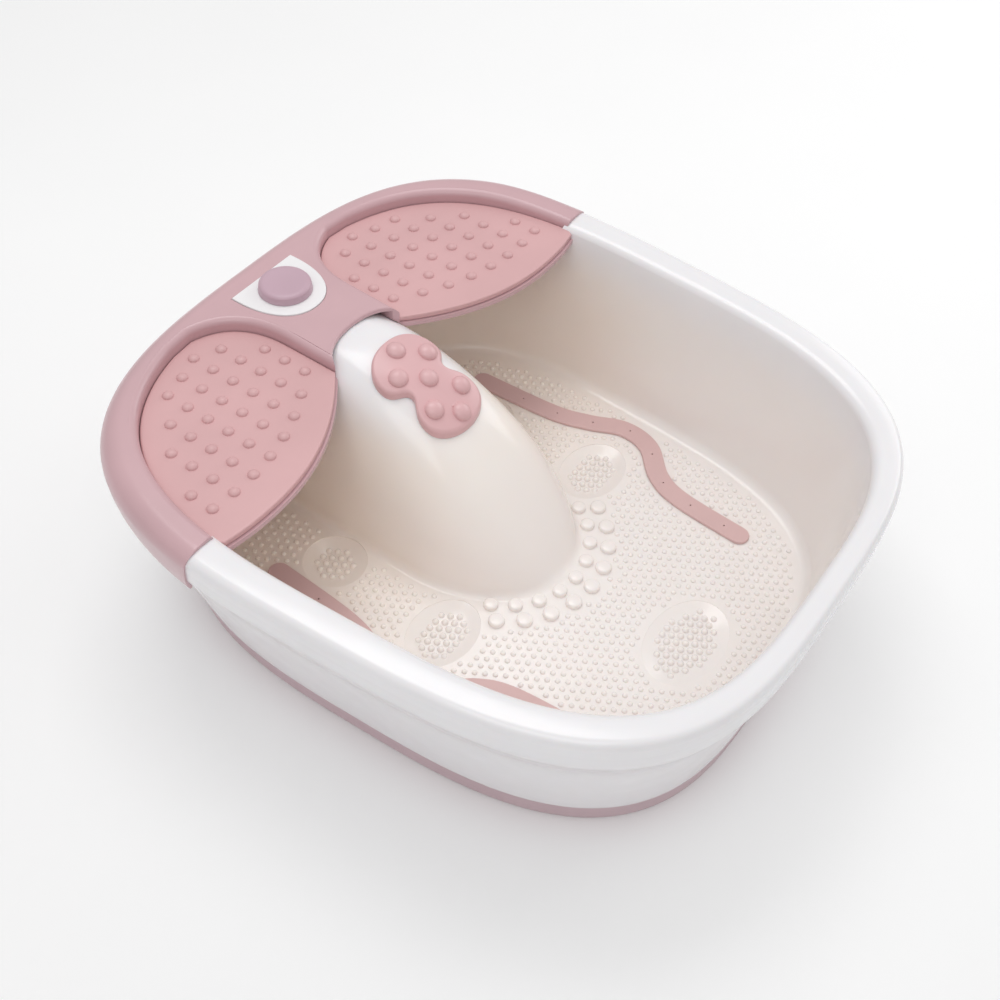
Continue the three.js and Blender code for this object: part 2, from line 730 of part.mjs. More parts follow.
function blowerHousing() {
  const cup = rod(BLOWER_R, 7, 27, 0, MOTOR_Y, 20).subtract(rod(BLOWER_R - 2, 9, 40, 0, MOTOR_Y, 20));
  const legs = [30, 150, 270].map((degrees) => {
    const turn = THREE.MathUtils.degToRad(degrees);
    return rod(4, 4.8, 8, 26 * Math.cos(turn), MOTOR_Y + 26 * Math.sin(turn), 12);
  });
  const start = BLOWER_R - 2;
  const nozzles = [-1, 1].map((side) => bar("x", 5.5, ...span(side, start, 44), MOTOR_Y, NOZZLE_Z));
  const bores = [-1, 1].map((side) => bar("x", 3.5, ...span(side, start - 4, 46), MOTOR_Y, NOZZLE_Z));
  const room = rod(BLOWER_R - 2, 9, 26.9, 0, MOTOR_Y, 20);
  const spouts = join(nozzles).subtract(room);
  return cut(join([cup, ...legs, spouts]), [...bores, rod(10, 0, 12, 0, MOTOR_Y, 20)]);
}

const blowerCover = () => ringRod(4, BLOWER_R, 27 + GAP, 29.4, 0, MOTOR_Y, 20);

function impeller() {
  const disc = rod(28, 11, 12.6, 0, MOTOR_Y, 28);
  const hub = rod(5, 11, 24, 0, MOTOR_Y, 16);
  const blades = [];
  for (let i = 0; i < 8; i++) {
    const blade = new THREE.BoxGeometry(22, 1.5, 11.5).translate(15.5, 0, 18);
    blades.push(solid(blade.rotateZ((i * Math.PI) / 4).translate(0, MOTOR_Y, 0)));
  }
  return join([disc, hub, ...blades]).subtract(rod(SHAFT_R + GAP, 0, 40, 0, MOTOR_Y, 12));
}

// ---------- air line ----------
const ELBOW_Z = 15;

function airElbow(side) {
  const cup = rod(7, 9, FLOOR_UNDER - GAP, side * SPIGOT.x, SPIGOT.y, 18);
  const stub = bar("x", 5.5, ...span(side, 92, SPIGOT.x), SPIGOT.y, ELBOW_Z);
  const well = rod(4.9, 12, 40, side * SPIGOT.x, SPIGOT.y, 16);
  return cut(cup.add(stub), [well, bar("x", 3.5, ...span(side, 88, SPIGOT.x), SPIGOT.y, ELBOW_Z)]);
}

function airHose(side) {
  const curve = new THREE.CubicBezierCurve3(
    new THREE.Vector3(side * (44 + GAP), MOTOR_Y, NOZZLE_Z),
    new THREE.Vector3(side * 72, MOTOR_Y, NOZZLE_Z),
    new THREE.Vector3(side * 64, SPIGOT.y, ELBOW_Z),
    new THREE.Vector3(side * (92 - GAP), SPIGOT.y, ELBOW_Z),
  );
  return tube(curve, 5, 3.4, 8, 8);
}

// ---------- heater and wiring ----------
const HEATER_Y = -105;
const HEATER_BOTTOM = 28.2;
const heaterPlate = () => box(-55, 55, HEATER_Y - 28, HEATER_Y + 28, HEATER_BOTTOM, FLOOR_UNDER - GAP);
const thermostat = () => rod(8, 21, HEATER_BOTTOM - GAP, -30, HEATER_Y, 20);
const thermalFuse = () => bar("x", 3, 14, 38, HEATER_Y, HEATER_BOTTOM - GAP - 3, 14);

const TERMINALS = { x: -32, top: 19 };
function terminalBlock() {
  const block = box(TERMINALS.x - 22, TERMINALS.x + 22, 142, 158, BASE_BOTTOM + WALL + GAP, TERMINALS.top);
  const slots = [-1, 1].map((side) => {
    const x = TERMINALS.x + side * 5;
    return box(x - 1, x + 1, 140, 160, TERMINALS.top - 6, TERMINALS.top + 2);
  });
  return cut(block, slots);
}

const CABLE_R = 2.2;
const CABLES = {
  switch_cable: [[0, KNOB_Y, 113.6], [0, KNOB_Y, 95], [-14, 157, 62], [-44, 150, 38], [-44, 150, 19.4]],
  motor_cable: [[0, 83.6, 55], [0, 100, 54], [-16, 128, 44], [-32, 150, 36], [-32, 150, 19.4]],
  heater_cable: [
    [-38.6, HEATER_Y, 24.5],
    [-46, HEATER_Y, 24.8],
    [-62, -84, 26.5],
    [-64, 0, 26.5],
    [-64, 96, 26.5],
    [-50, 124, 16],
    [-44, 135, 12],
    [-44, 141.6, 12],
  ],
};
const cable = (name) => tube(smoothCurve(CABLES[name]), CABLE_R, 0, 6, 16);

function cordGland() {
  const flange = bar("y", 9.5, GLAND.flange, GLAND.flange + 3, GLAND.x, GLAND.z);
  const body = bar("y", 6.6, 163, GLAND.flange + 1, GLAND.x, GLAND.z);
  return flange.add(body).subtract(bar("y", 3.6, 160, 200, GLAND.x, GLAND.z));
}

function glandNut() {
  const hexagon = bar("y", 8.6, 164, 168, GLAND.x, GLAND.z, 6);
  return hexagon.subtract(bar("y", 6.9, 160, 180, GLAND.x, GLAND.z));
}

// ---------- assembly ----------
const footBath = new THREE.Group();
footBath.name = "foot_bath";

function place(name, body, material) {
  const mesh = new THREE.Mesh(geometryOf(body), material);
  mesh.name = name;
  footBath.add(mesh);
}

place("tub_shell", tubShell(), whitePlastic);
place("deck_cover", deckCover(), pinkPlastic);
place("dial_bezel", dialBezel(), whitePlastic);
place("control_knob", controlKnob(), lilacPlastic);
place("switch_body", switchBody(), blackPlastic);
place("switch_shaft", switchShaft(), steel);
place("switch_nut", switchNut(), steel);
place("massage_attachment", massageAttachment(), pinkPad);
place("base_plate", basePlate(), pinkPlastic);

for (const [side, name] of [[-1, "left"], [1, "right"]]) {
  place(`foot_rest_${name}`, footRest(side), pinkPad);
  place(`bubble_strip_${name}`, bubbleStrip(side), stripPink);
  place(`air_elbow_${name}`, airElbow(side), greyPlastic);
  place(`air_hose_${name}`, airHose(side), siliconeHose);
}

bothSides(FEET).forEach(([x, y], i) => place(`rubber_foot_${i + 1}`, foot(x, y), rubber));
bothSides(BASE_SCREWS).forEach(([x, y], i) => place(`base_screw_${i + 1}`, baseScrew(x, y), steel));
bothSides(DECK_SCREWS).forEach(([x, y], i) => place(`deck_screw_${i + 1}`, deckScrew(x, y), steel));
MOTOR_POSTS.forEach(([x, y], i) => {
  place(`motor_grommet_${i + 1}`, grommet(x, y), rubber);
  place(`motor_screw_${i + 1}`, motorScrew(x, y), steel);
});

place("motor_bracket", motorBracket(), steel);
place("motor_can", motorCan(), steel);
place("motor_shaft", motorShaft(), steel);
place("eccentric_weight", eccentricWeight(), aluminium);
place("blower_housing", blowerHousing(), blackPlastic);
place("blower_cover", blowerCover(), blackPlastic);
place("blower_impeller", impeller(), greyPlastic);
place("heater_plate", heaterPlate(), aluminium);
place("thermostat", thermostat(), blackPlastic);
place("thermal_fuse", thermalFuse(), greyPlastic);
place("terminal_block", terminalBlock(), greyPlastic);
place("cord_gland", cordGland(), blackPlastic);
place("gland_nut", glandNut(), blackPlastic);
for (const name of Object.keys(CABLES)) place(name, cable(name), blackPlastic);

export default footBath;
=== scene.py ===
import json
import math
from collections import namedtuple

import bmesh
import bpy
from mathutils import Euler, Matrix, Vector

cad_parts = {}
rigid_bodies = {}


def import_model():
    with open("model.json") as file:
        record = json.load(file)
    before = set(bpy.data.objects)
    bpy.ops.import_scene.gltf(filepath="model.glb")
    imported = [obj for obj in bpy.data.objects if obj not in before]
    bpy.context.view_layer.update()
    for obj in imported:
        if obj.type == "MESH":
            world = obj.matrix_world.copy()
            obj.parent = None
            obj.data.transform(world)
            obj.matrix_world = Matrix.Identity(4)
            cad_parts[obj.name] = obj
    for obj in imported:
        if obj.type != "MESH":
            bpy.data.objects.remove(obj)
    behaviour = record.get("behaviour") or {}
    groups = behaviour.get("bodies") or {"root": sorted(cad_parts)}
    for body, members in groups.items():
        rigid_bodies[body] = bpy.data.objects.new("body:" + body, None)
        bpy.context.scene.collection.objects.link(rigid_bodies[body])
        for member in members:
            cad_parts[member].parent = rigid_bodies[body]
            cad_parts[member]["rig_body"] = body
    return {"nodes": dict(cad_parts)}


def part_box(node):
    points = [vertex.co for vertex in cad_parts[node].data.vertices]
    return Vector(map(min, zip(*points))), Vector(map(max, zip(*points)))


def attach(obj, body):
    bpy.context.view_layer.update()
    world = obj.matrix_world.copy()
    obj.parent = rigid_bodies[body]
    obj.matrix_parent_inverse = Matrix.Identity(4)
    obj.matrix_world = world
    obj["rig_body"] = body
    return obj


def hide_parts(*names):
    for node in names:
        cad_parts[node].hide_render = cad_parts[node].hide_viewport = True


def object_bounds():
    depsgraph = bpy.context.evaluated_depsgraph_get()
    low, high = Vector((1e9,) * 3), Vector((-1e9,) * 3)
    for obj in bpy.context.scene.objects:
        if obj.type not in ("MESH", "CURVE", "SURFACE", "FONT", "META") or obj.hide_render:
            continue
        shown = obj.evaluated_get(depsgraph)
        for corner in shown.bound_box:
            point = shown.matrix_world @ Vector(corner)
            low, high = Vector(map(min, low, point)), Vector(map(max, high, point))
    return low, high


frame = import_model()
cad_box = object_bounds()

MM = 0.001


def node_box(name):
    """Lowest and highest corner of a CAD node, in millimetres."""
    low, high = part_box(name)
    return low / MM, high / MM


def lerp(a, b, share):
    return a + (b - a) * share


def smoothstep(low, high, value):
    share = min(1.0, max(0.0, (value - low) / (high - low)))
    return share * share * (3 - 2 * share)


def signed_power(value, power):
    return math.copysign(abs(value) ** power, value)


# ---------- driving dimensions, from the frame where a node gives them ----------
GAP = 0.3
WALL = 3.0

# An outline in plan: half its width, its reach to the front and rear of MIDDLE_Y, and its powers there.
Outline = namedtuple("Outline", "width front rear front_power power")
MIDDLE_Y = -6.95
TAPER = 0.07 / 200
FRONT_INSET = 0.7
DECK_PROUD = 1.2
RIM_FRONT = MIDDLE_Y - node_box("tub_shell")[0].y
RIM_REAR = node_box("deck_cover")[1].y - MIDDLE_Y - DECK_PROUD
RIM = Outline(181.4, RIM_FRONT, RIM_REAR, 3.33, 3.12)
BASE = Outline(145.6, 174.6, 189.0, 3.03, 3.03)
BASIN = Outline(159.5, 183.6, 174.5, 3.41, 3.2)
PAD = RIM._replace(width=RIM.width - 19.5, rear=RIM.rear - 14)

RIM_TOP = 140.0
BAND_TOP = 17.0
STRIP_THICK = 1.8
FLOOR_TOP = node_box("bubble_strip_left")[1].z - STRIP_THICK - GAP
FLOOR_UNDER = FLOOR_TOP - WALL
LEDGE_TOP = 128.8
BASIN_TOP = 134.0
BASIN_DRAFT = 0.165

SEAM_Y = 68.7
DECK_WALL = 2.6
DECK_SEAM_Z = 142.2
DECK_REAR_Z = node_box("deck_cover")[1].z
DECK_LEVEL_Y = 135.0
SKIRT_BOTTOM = node_box("deck_cover")[0].z
SKIRT_SLANT = 0.22
UNDERCUT = 2.6

PAD_LOW, PAD_TOP = (corner.z for corner in node_box("foot_rest_right"))
PAD_INNER_X = node_box("foot_rest_right")[0].x
PAD_OUTER_X = 161.0
PAD_CORNER = (62, 183.6)
PAD_CORNER_BEND_Y = 176
TRAY_WALL = 2.6
TRAY_LIP = 1.5

HUMP_REAR_Y = 113.7
HUMP_LENGTH = 160.0
HUMP_HEIGHT = 107.0
HUMP_HALF = 56.0
HUMP_ROUND_Y = 26.7
HUMP_NOSE_LENGTH = HUMP_ROUND_Y - HUMP_REAR_Y + HUMP_LENGTH
HUMP_END_Y = 172.0
HUMP_FILLET = 4.5
HUMP_LENGTH_POWER = 2.2
HUMP_SIDE_POWER = 3
HUMP_TOP_POWER = 1.8

KNOB_LOW, KNOB_HIGH = node_box("control_knob")
KNOB_Y = (KNOB_LOW.y + KNOB_HIGH.y) / 2
KNOB_R = (KNOB_HIGH.x - KNOB_LOW.x) / 2
BEZEL_LOW, BEZEL_TOP = (corner.z for corner in node_box("dial_bezel"))
WELL_HALF = 23.5
WELL_FRONT = 121.0
WELL_REAR = 181.0
WELL_FLOOR = 106.0

SHAFT_HOLE_R = 5

PLATE_GAP = 0.4
PLATE_THICK = 4.6
PLATE_SPINE = (41.0, 71.0)
DOME_R = 5.9
DOME_HEIGHT = 3.8
PEG_PLACES = (72.0, 41.0)
PEG_R = 4
PLATE_DOMES = ((0, 80.5), (0, 56.7), (0, 32.8), (13.8, 68), (-13.8, 68), (12.8, 42.8), (-12.8, 42.8))

STRIP_WIDTH = 13.4
STRIP_LINE = (
    (104, 89),
    (107.5, 35),
    (114.5, 10),
    (123.5, -12),
    (119.5, -33),
    (101, -52),
    (92.5, -73),
    (89, -117),
)
SPIGOT = (107.5, 35.0)
SPIGOT_R = 4.5
GLAND_R = 6.6

# Dishes in the floor: middle and half sizes in X and Y, and depth.
DISHES = (
    (80, -14.8, 26.5, 20, 3.6),
    (-80, -14.8, 26.5, 20, 3.6),
    (77, 68.6, 20, 20, 3.4),
    (-77, 68.6, 20, 20, 3.4),
    (0, -131.2, 33.5, 23, 2.4),
)

QUARTER = [math.pi / 2 * i / 8 for i in range(9)]


def rounded(radius):
    """Steps up a rounded edge: inset from the side, and drop from the top."""
    turns = [math.radians(degrees) for degrees in (90, 78, 66, 54, 42, 30, 18, 9)]
    return [(radius * (1 - math.sin(turn)), radius * (1 - math.cos(turn))) for turn in turns]


# ---------- closed bodies ----------
def closed(points, faces):
    """Object of a closed mesh, in millimetres, with its faces outwards."""
    mesh = bpy.data.meshes.new("body")
    mesh.from_pydata(points, [], faces)
    shape = bmesh.new()
    shape.from_mesh(mesh)
    if shape.calc_volume(signed=True) < 0:
        bmesh.ops.reverse_faces(shape, faces=shape.faces)
    shape.to_mesh(mesh)
    shape.free()
    made = bpy.data.objects.new("body", mesh)
    bpy.context.scene.collection.objects.link(made)
    return made


def loft(rings):
    """Skin over rings with the same number of points, closed at both ends."""
    count = len(rings[0])
    points = [point for ring in rings for point in ring]
    faces = [tuple(reversed(range(count)))]
    for row in range(len(rings) - 1):
        for i in range(count):
            a = row * count + i
            b = row * count + (i + 1) % count
            faces.append((a, b, b + count, a + count))
    first = (len(rings) - 1) * count
    faces.append(tuple(range(first, first + count)))
    return closed(points, faces)


def at_height(plan, z):
    return [(x, y, z) for x, y in plan]


def prism(outline, bottom, top):
    return loft([at_height(outline, bottom), at_height(outline, top)])


def turned(profile, x=0.0, y=0.0, sides=48):
    """Profile of (radius, height) points, from one pole to the other, turned about an upright axis."""
    points = [(x, y, profile[0][1])]
    for radius, height in profile[1:-1]:
        for i in range(sides):
            turn = 2 * math.pi * i / sides
            points.append((x + radius * math.cos(turn), y + radius * math.sin(turn), height))
    points.append((x, y, profile[-1][1]))
    last = len(points) - 1
    faces = []
    for i in range(sides):
        j = (i + 1) % sides
        faces.append((0, 1 + j, 1 + i))
        faces.append((last, last - sides + i, last - sides + j))
        for row in range(len(profile) - 3):
            a = 1 + row * sides
            faces.append((a + i, a + j, a + sides + j, a + sides + i))
    return closed(points, faces)


def rod(radius, bottom, top, x=0.0, y=0.0, sides=32):
    return turned([(0, bottom), (radius, bottom), (radius, top), (0, top)], x, y, sides)


def laid_along_y(body, x, z):
    """Turns an upright body so that its axis runs along Y at (x, z); its heights become Y."""
    body.data.transform(Matrix.Translation((x, 0, z)) @ Matrix.Rotation(math.radians(-90), 4, "X"))
    return body


def copy_of(body):
    made = body.copy()
    made.data = body.data.copy()
    bpy.context.scene.collection.objects.link(made)
    return made


def gathered(bodies):
    """One object of several bodies that don't touch."""
    shape = bmesh.new()
    for body in bodies:
        shape.from_mesh(body.data)
        bpy.data.objects.remove(body)
    mesh = bpy.data.meshes.new("bodies")
    shape.to_mesh(mesh)
    shape.free()
    made = bpy.data.objects.new("bodies", mesh)
    bpy.context.scene.collection.objects.link(made)
    return made


def combine(body, tool, operation):
    """Joins, cuts or intersects body with tool, which is used up."""
    modifier = body.modifiers.new(operation, "BOOLEAN")
    modifier.solver = "MANIFOLD"
    modifier.operation = operation
    modifier.object = tool
    graph = bpy.context.evaluated_depsgraph_get()
    mesh = bpy.data.meshes.new_from_object(body.evaluated_get(graph))
    body.modifiers.clear()
    body.data = mesh
    bpy.data.objects.remove(tool)
    return body


def add(body, *tools):
    for tool in tools:
        combine(body, tool, "UNION")
    return body


def cut(body, *tools):
    for tool in tools:
        combine(body, tool, "DIFFERENCE")
    return body


# ---------- outlines ----------
def outline_point(turn, shape, inset):
    """Point in plan of a tapered superellipse, brought in by inset."""
    c, s = math.cos(turn), math.sin(turn)
    power = 2 / (shape.front_power if s < 0 else shape.power)
    reach = shape.front - inset * FRONT_INSET if s < 0 else shape.rear - inset
    y = reach * signed_power(s, power)
    width = (shape.width - inset) * (1 + TAPER * y)
    return width * signed_power(c, power), y + MIDDLE_Y


def inside_outline(x, y, shape, inset):
    """Below 1 inside the outline brought in by inset, above 1 outside it."""
    ahead = y < MIDDLE_Y
    power = shape.front_power if ahead else shape.power
    reach = shape.front - inset * FRONT_INSET if ahead else shape.rear - inset
    width = (shape.width - inset) * (1 + TAPER * (y - MIDDLE_Y))
    return abs(x / width) ** power + abs((y - MIDDLE_Y) / reach) ** power


def mixed_shape(share):
    return Outline(*(lerp(a, b, share) for a, b in zip(RIM, BASE)))


def seam_turn(y, shape, inset):
    """Angle at which an outline brought in by inset passes the line y."""
    return math.asin(((y - MIDDLE_Y) / (shape.rear - inset)) ** (shape.power / 2))


SEAM_TURN = seam_turn(SEAM_Y, RIM, 0)
SEAM_STEP = 0.002


def even_turns(count):
    """Angles round the rim, about evenly spaced along it and the same on both sides."""
    fine = 3000
    turns = [-math.pi / 2 + math.pi * i / fine for i in range(fine + 1)]
    points = [outline_point(turn, RIM, 0) for turn in turns]
    travel = [0.0]
    for a, b in zip(points, points[1:]):
        travel.append(travel[-1] + math.dist(a, b))
    half = count // 2
    picked = [SEAM_TURN - SEAM_STEP, SEAM_TURN + SEAM_STEP]
    place = 0
    for i in range(half):
        while travel[place] < travel[-1] * (i + 0.5) / half:
            place += 1
        if abs(turns[place] - SEAM_TURN) > 4 * SEAM_STEP:
            picked.append(turns[place])
    picked.sort()
    return picked + [math.pi - turn for turn in reversed(picked)]


TURNS = even_turns(260)


def under_deck(turn):
    return SEAM_TURN < turn < math.pi - SEAM_TURN


def slid(turn, seam):
    """The angle that turn becomes when the side seams move from SEAM_TURN to seam."""
    if turn > math.pi / 2:
        return math.pi - slid(math.pi - turn, seam)
    if turn < SEAM_TURN:
        return lerp(-math.pi / 2, seam, (turn + math.pi / 2) / (SEAM_TURN + math.pi / 2))
    return lerp(seam, math.pi / 2, (turn - SEAM_TURN) / (math.pi / 2 - SEAM_TURN))


def plain_ring(shape, inset, z):
    return at_height([outline_point(turn, shape, inset) for turn in TURNS], z)


def deck_top_z(y):
    return lerp(DECK_SEAM_Z, DECK_REAR_Z, smoothstep(SEAM_Y, DECK_LEVEL_Y, y))


def skirt_end_y(z):
    """The side ends of the deck lean back on their way down."""
    return SEAM_Y + SKIRT_SLANT * max(0.0, DECK_SEAM_Z - z)


def smooth_value(p, q, r, s, t):
    """Value at the share t between q and r, on a Catmull-Rom curve through four values."""
    bow = 2 * p - 5 * q + 4 * r - s
    twist = 3 * q - p - 3 * r + s
    return 0.5 * (2 * q + (r - p) * t + bow * t**2 + twist * t**3)


def smooth_line(points, steps):
    """Catmull-Rom line through the points, steps points for each stretch."""
    padded = [points[0], *points, points[-1]]
    line = []
    for corners in zip(padded, padded[1:], padded[2:], padded[3:]):
        for i in range(steps):
            line.append(tuple(smooth_value(*values, i / steps) for values in zip(*corners)))
    return [*line, tuple(points[-1])]


def along(line, share):
    """Point on a line of (value, ...) points at a share of its number of stretches."""
    place = share * (len(line) - 1)
    i = min(int(place), len(line) - 2)
    return tuple(lerp(a, b, place - i) for a, b in zip(line[i], line[i + 1]))


def bezier(a, b, c, d, steps):
    """Points of a cubic curve, without its last one."""
    made = []
    for i in range(steps):
        t = i / steps
        weights = ((1 - t) ** 3, 3 * t * (1 - t) ** 2, 3 * t * t * (1 - t), t**3)
        made.append(tuple(sum(w * p[k] for w, p in zip(weights, (a, b, c, d))) for k in (0, 1)))
    return made


def bend(a, b, c, steps):
    """Points of a curve from a to c that is bent towards b, both ends included."""
    made = []
    for i in range(steps + 1):
        t = i / steps
        weights = ((1 - t) ** 2, 2 * t * (1 - t), t * t)
        made.append(tuple(sum(w * p[k] for w, p in zip(weights, (a, b, c))) for k in (0, 1)))
    return made


def grown(outline, distance):
    """A closed outline, anticlockwise, moved outwards by distance."""
    made = []
    for before, here, after in zip([outline[-1], *outline], outline, [*outline[1:], outline[0]]):
        along_x, along_y = after[0] - before[0], after[1] - before[1]
        length = math.hypot(along_x, along_y)
        made.append((here[0] + distance * along_y / length, here[1] - distance * along_x / length))
    return made


# ---------- tub ----------
# How far the outer wall has drawn in from the rim outline to the base outline, and at what height.
OUTER_PROFILE = smooth_line(
    [(0.97, BAND_TOP + GAP), (0.64, 60), (0.38, 91), (0.18, 107), (0.05, 118), (0, 131)], 7
)
STEP_BEHIND_SEAM = 2.5


def tub_ring(share, inset, z, rear_inset, rear_z):
    """Ring of the tub; behind the side seams it follows rear_inset and rear_z, under the deck."""
    shape = mixed_shape(share)
    step_y = skirt_end_y(z) + STEP_BEHIND_SEAM
    ring = []
    for turn in TURNS:
        drawn_in, height = (rear_inset, rear_z) if under_deck(turn) else (inset, z)
        seam = seam_turn(step_y, shape, drawn_in)
        ring.append((*outline_point(slid(turn, seam), shape, drawn_in), height))
    return ring


def basin_ring(z, outward=0.0, extra=0.0):
    inset = (BASIN_TOP - z) * BASIN_DRAFT - outward + extra
    seam = seam_turn(SEAM_Y + STEP_BEHIND_SEAM, BASIN, inset)
    return at_height([outline_point(slid(turn, seam), BASIN, inset) for turn in TURNS], z)


def tub_sheet():
    # Hidden side: from under the floor up the basin, over inside the rim and down the outer wall.
    under = [
        basin_ring(FLOOR_UNDER, WALL, 9),
        basin_ring(FLOOR_UNDER + 4, WALL, 2),
        basin_ring(48, WALL),
        basin_ring(LEDGE_TOP - WALL, WALL),
        tub_ring(0, 18.6, 132.5, 8, LEDGE_TOP - WALL),
        tub_ring(0, 14, 137, 7.6, 131.5),
        tub_ring(0, 8, 137, 7, 133.4),
        tub_ring(0, WALL, 132, 6.2, 132),
    ]
    for share, z in reversed(OUTER_PROFILE[:-1:5]):
        under.append(tub_ring(share, WALL, z, WALL + UNDERCUT, z))
    outer = []
    for share, z in OUTER_PROFILE[:-1]:
        tuck = UNDERCUT * smoothstep(SKIRT_BOTTOM + 1, SKIRT_BOTTOM + 6, z)
        outer.append(tub_ring(share, 0, z, tuck, z))
    # Rolled rim: a tight outer round, a level crown, a softer inner round. It is tucked in under the deck.
    tucked = [(2.6, 131), (3.4, 133.6), (5, 135.4), (7.5, 137.2), (9, 137.2), (10, 135.8), (10.8, LEDGE_TOP)]
    rise = 5.7
    rolled = [(5.2 * (1 - math.cos(turn)), BASIN_TOP + rise * math.sin(turn)) for turn in QUARTER]
    rolled.append((9.5, RIM_TOP))
    rolled += [(14 + 7.3 * math.sin(turn), BASIN_TOP + rise * math.cos(turn)) for turn in QUARTER]
    rim = []
    for i, (inset, z) in enumerate(rolled):
        rear_inset, rear_z = along(tucked, i / (len(rolled) - 1))
        rim.append(tub_ring(0, inset, z, rear_inset, rear_z))
    basin = [basin_ring(z) for z in (LEDGE_TOP, 110, 90, 70, 55, 46)]
    radius = 6.5
    for turn in QUARTER:
        basin.append(basin_ring(FLOOR_TOP + radius * (1 - math.sin(turn)), 0, radius * (1 - math.cos(turn))))
    return loft([*under, *outer, *rim, *basin])


def hump_height(y):
    return HUMP_HEIGHT * (1 - max(0.0, (HUMP_REAR_Y - y) / HUMP_LENGTH) ** HUMP_LENGTH_POWER)


def hump_half(y):
    travel = max(0.0, (HUMP_ROUND_Y - y) / HUMP_NOSE_LENGTH)
    return HUMP_HALF * math.sqrt(max(0.0, 1 - travel**2))


def hump_outwards(x, y):
    """Direction in plan in which the side of the hump faces."""
    across = math.copysign(abs(x) / HUMP_HALF**2, x)
    forward = -max(0.0, HUMP_ROUND_Y - y) / HUMP_NOSE_LENGTH**2
    length = math.hypot(across, forward) or 1.0
    return across / length, forward / length


def hump(grow, bottom, fillet=0.0):
    """The hump grown outwards, down to the height bottom, with a fillet where it meets the floor."""
    steps = 48
    half_arch = 24
    tip = 0.9995
    climb = [math.pi / 2 * (i / half_arch) ** 1.5 for i in range(half_arch + 1)]
    arch = climb + [math.pi - turn for turn in reversed(climb[:-1])]
    stations = [HUMP_END_Y, (HUMP_END_Y + HUMP_REAR_Y) / 2]
    stations += [HUMP_REAR_Y - HUMP_LENGTH * math.sin(math.pi / 2 * i / steps) for i in range(steps)]
    stations.append(HUMP_REAR_Y - HUMP_LENGTH * tip)
    rings = []
    for y in stations:
        half = hump_half(y) + grow
        height = max(1.0, hump_height(y) + grow)
        shift = y - grow * max(0.0, (HUMP_REAR_Y - y) / HUMP_LENGTH) ** 3
        ring = [(half, shift, bottom)]
        for turn in arch:
            x = half * signed_power(math.cos(turn), 2 / HUMP_SIDE_POWER)
            ring.append((x, shift, FLOOR_TOP + height * math.sin(turn) ** (2 / HUMP_TOP_POWER)))
        ring.append((-half, shift, bottom))
        if fillet:
            ring = [flared(point, fillet) for point in ring]
        rings.append(ring)
    return loft(rings)


def flared(point, radius):
    """Moves a point near the floor outwards, so that the side curves into the floor."""
    x, y, z = point
    height = max(0.0, z - FLOOR_TOP)
    if height >= radius:
        return point
    push = radius - math.sqrt(radius**2 - (radius - height) ** 2)
    across, forward = hump_outwards(x, y)
    return x + push * across, y + push * forward, z


def ellipse_ring(x, y, half_x, half_y, z):
    turns = [2 * math.pi * i / 64 for i in range(64)]
    return at_height([(x + half_x * math.cos(turn), y + half_y * math.sin(turn)) for turn in turns], z)


def dish(x, y, half_x, half_y, depth):
    """Cutter of one shallow dish, with rounded edges."""
    slope = 12.5
    rings = [ellipse_ring(x, y, half_x - 0.4, half_y - 0.4, FLOOR_TOP + 3)]
    for share in (0.03, 0.07, 0.12, 0.18, 0.26, 0.34, 0.44, 0.54, 0.64, 0.74, 0.84, 0.92, 1):
        z = FLOOR_TOP - depth * smoothstep(-0.12, 1, share) ** 0.75
        rings.append(ellipse_ring(x, y, half_x - slope * share, half_y - slope * share, z))
    return loft(rings)


def dish_underside(x, y, half_x, half_y, depth):
    """Keeps a wall under a dish that is deeper than the floor is thick."""
    low = FLOOR_TOP - depth - 1
    return prism([point[:2] for point in ellipse_ring(x, y, half_x - 3, half_y - 3, 0)], low, FLOOR_UNDER + 1)


SUNK = 0.5


def nub(x, y, z, radius, height, sides=10):
    """Low dome that stands on the height z and is sunk a little into it."""
    profile = [(0, z - SUNK), (radius, z - SUNK), (radius, z)]
    for share in (0.3, 0.55, 0.78, 0.93):
        profile.append((radius * math.sqrt(1 - share**2) ** 0.9, z + height * share))
    profile.append((0, z + height))
    return turned(profile, x, y, sides)


def dish_nubs(x, y, half_x, half_y, depth):
    """Nubs in staggered rows at the bottom of a dish."""
    pitch = 5.6
    row_share = 0.85
    border = 6.5
    made = []
    rows = range(-7, 8)
    for row in rows:
        for column in rows:
            across = (column + (row % 2) / 2) * pitch
            ahead = row * pitch * row_share
            if (across / (half_x - border)) ** 2 + (ahead / (half_y - border)) ** 2 < 1:
                made.append(nub(x + across, y + ahead, FLOOR_TOP - depth, 2.1, 2.2))
    return made


def stud(x, y, radius, height):
    """Raised disc with a rounded edge on the floor."""
    edge = 1.5
    top = FLOOR_TOP + height
    profile = [(0, FLOOR_TOP - SUNK), (radius, FLOOR_TOP - SUNK), (radius, top - edge)]
    for i in range(1, 7):
        turn = math.pi / 2 * i / 6
        profile.append((radius - edge * (1 - math.cos(turn)), top - edge * (1 - math.sin(turn))))
    profile += [(radius * 0.45, top + 0.15), (0, top + 0.2)]
    return turned(profile, x, y, 32)


def massage_arcs():
    """Place and radius of each stud, in two arcs round the nose of the hump."""
    middle_y = -1.3
    made = []
    # Radius of the arc, its reach to either side in degrees, and the size of its studs.
    for radius, reach, size in ((53.2, 63, 4.4), (64.6, 58.5, 4.9)):
        for i in range(9):
            turn = math.radians(-90 + lerp(-reach, reach, i / 8))
            made.append((radius * math.cos(turn), middle_y + radius * math.sin(turn), size))
    return made


STUDS = massage_arcs()
STRIP_FINE = smooth_line(STRIP_LINE, 10)


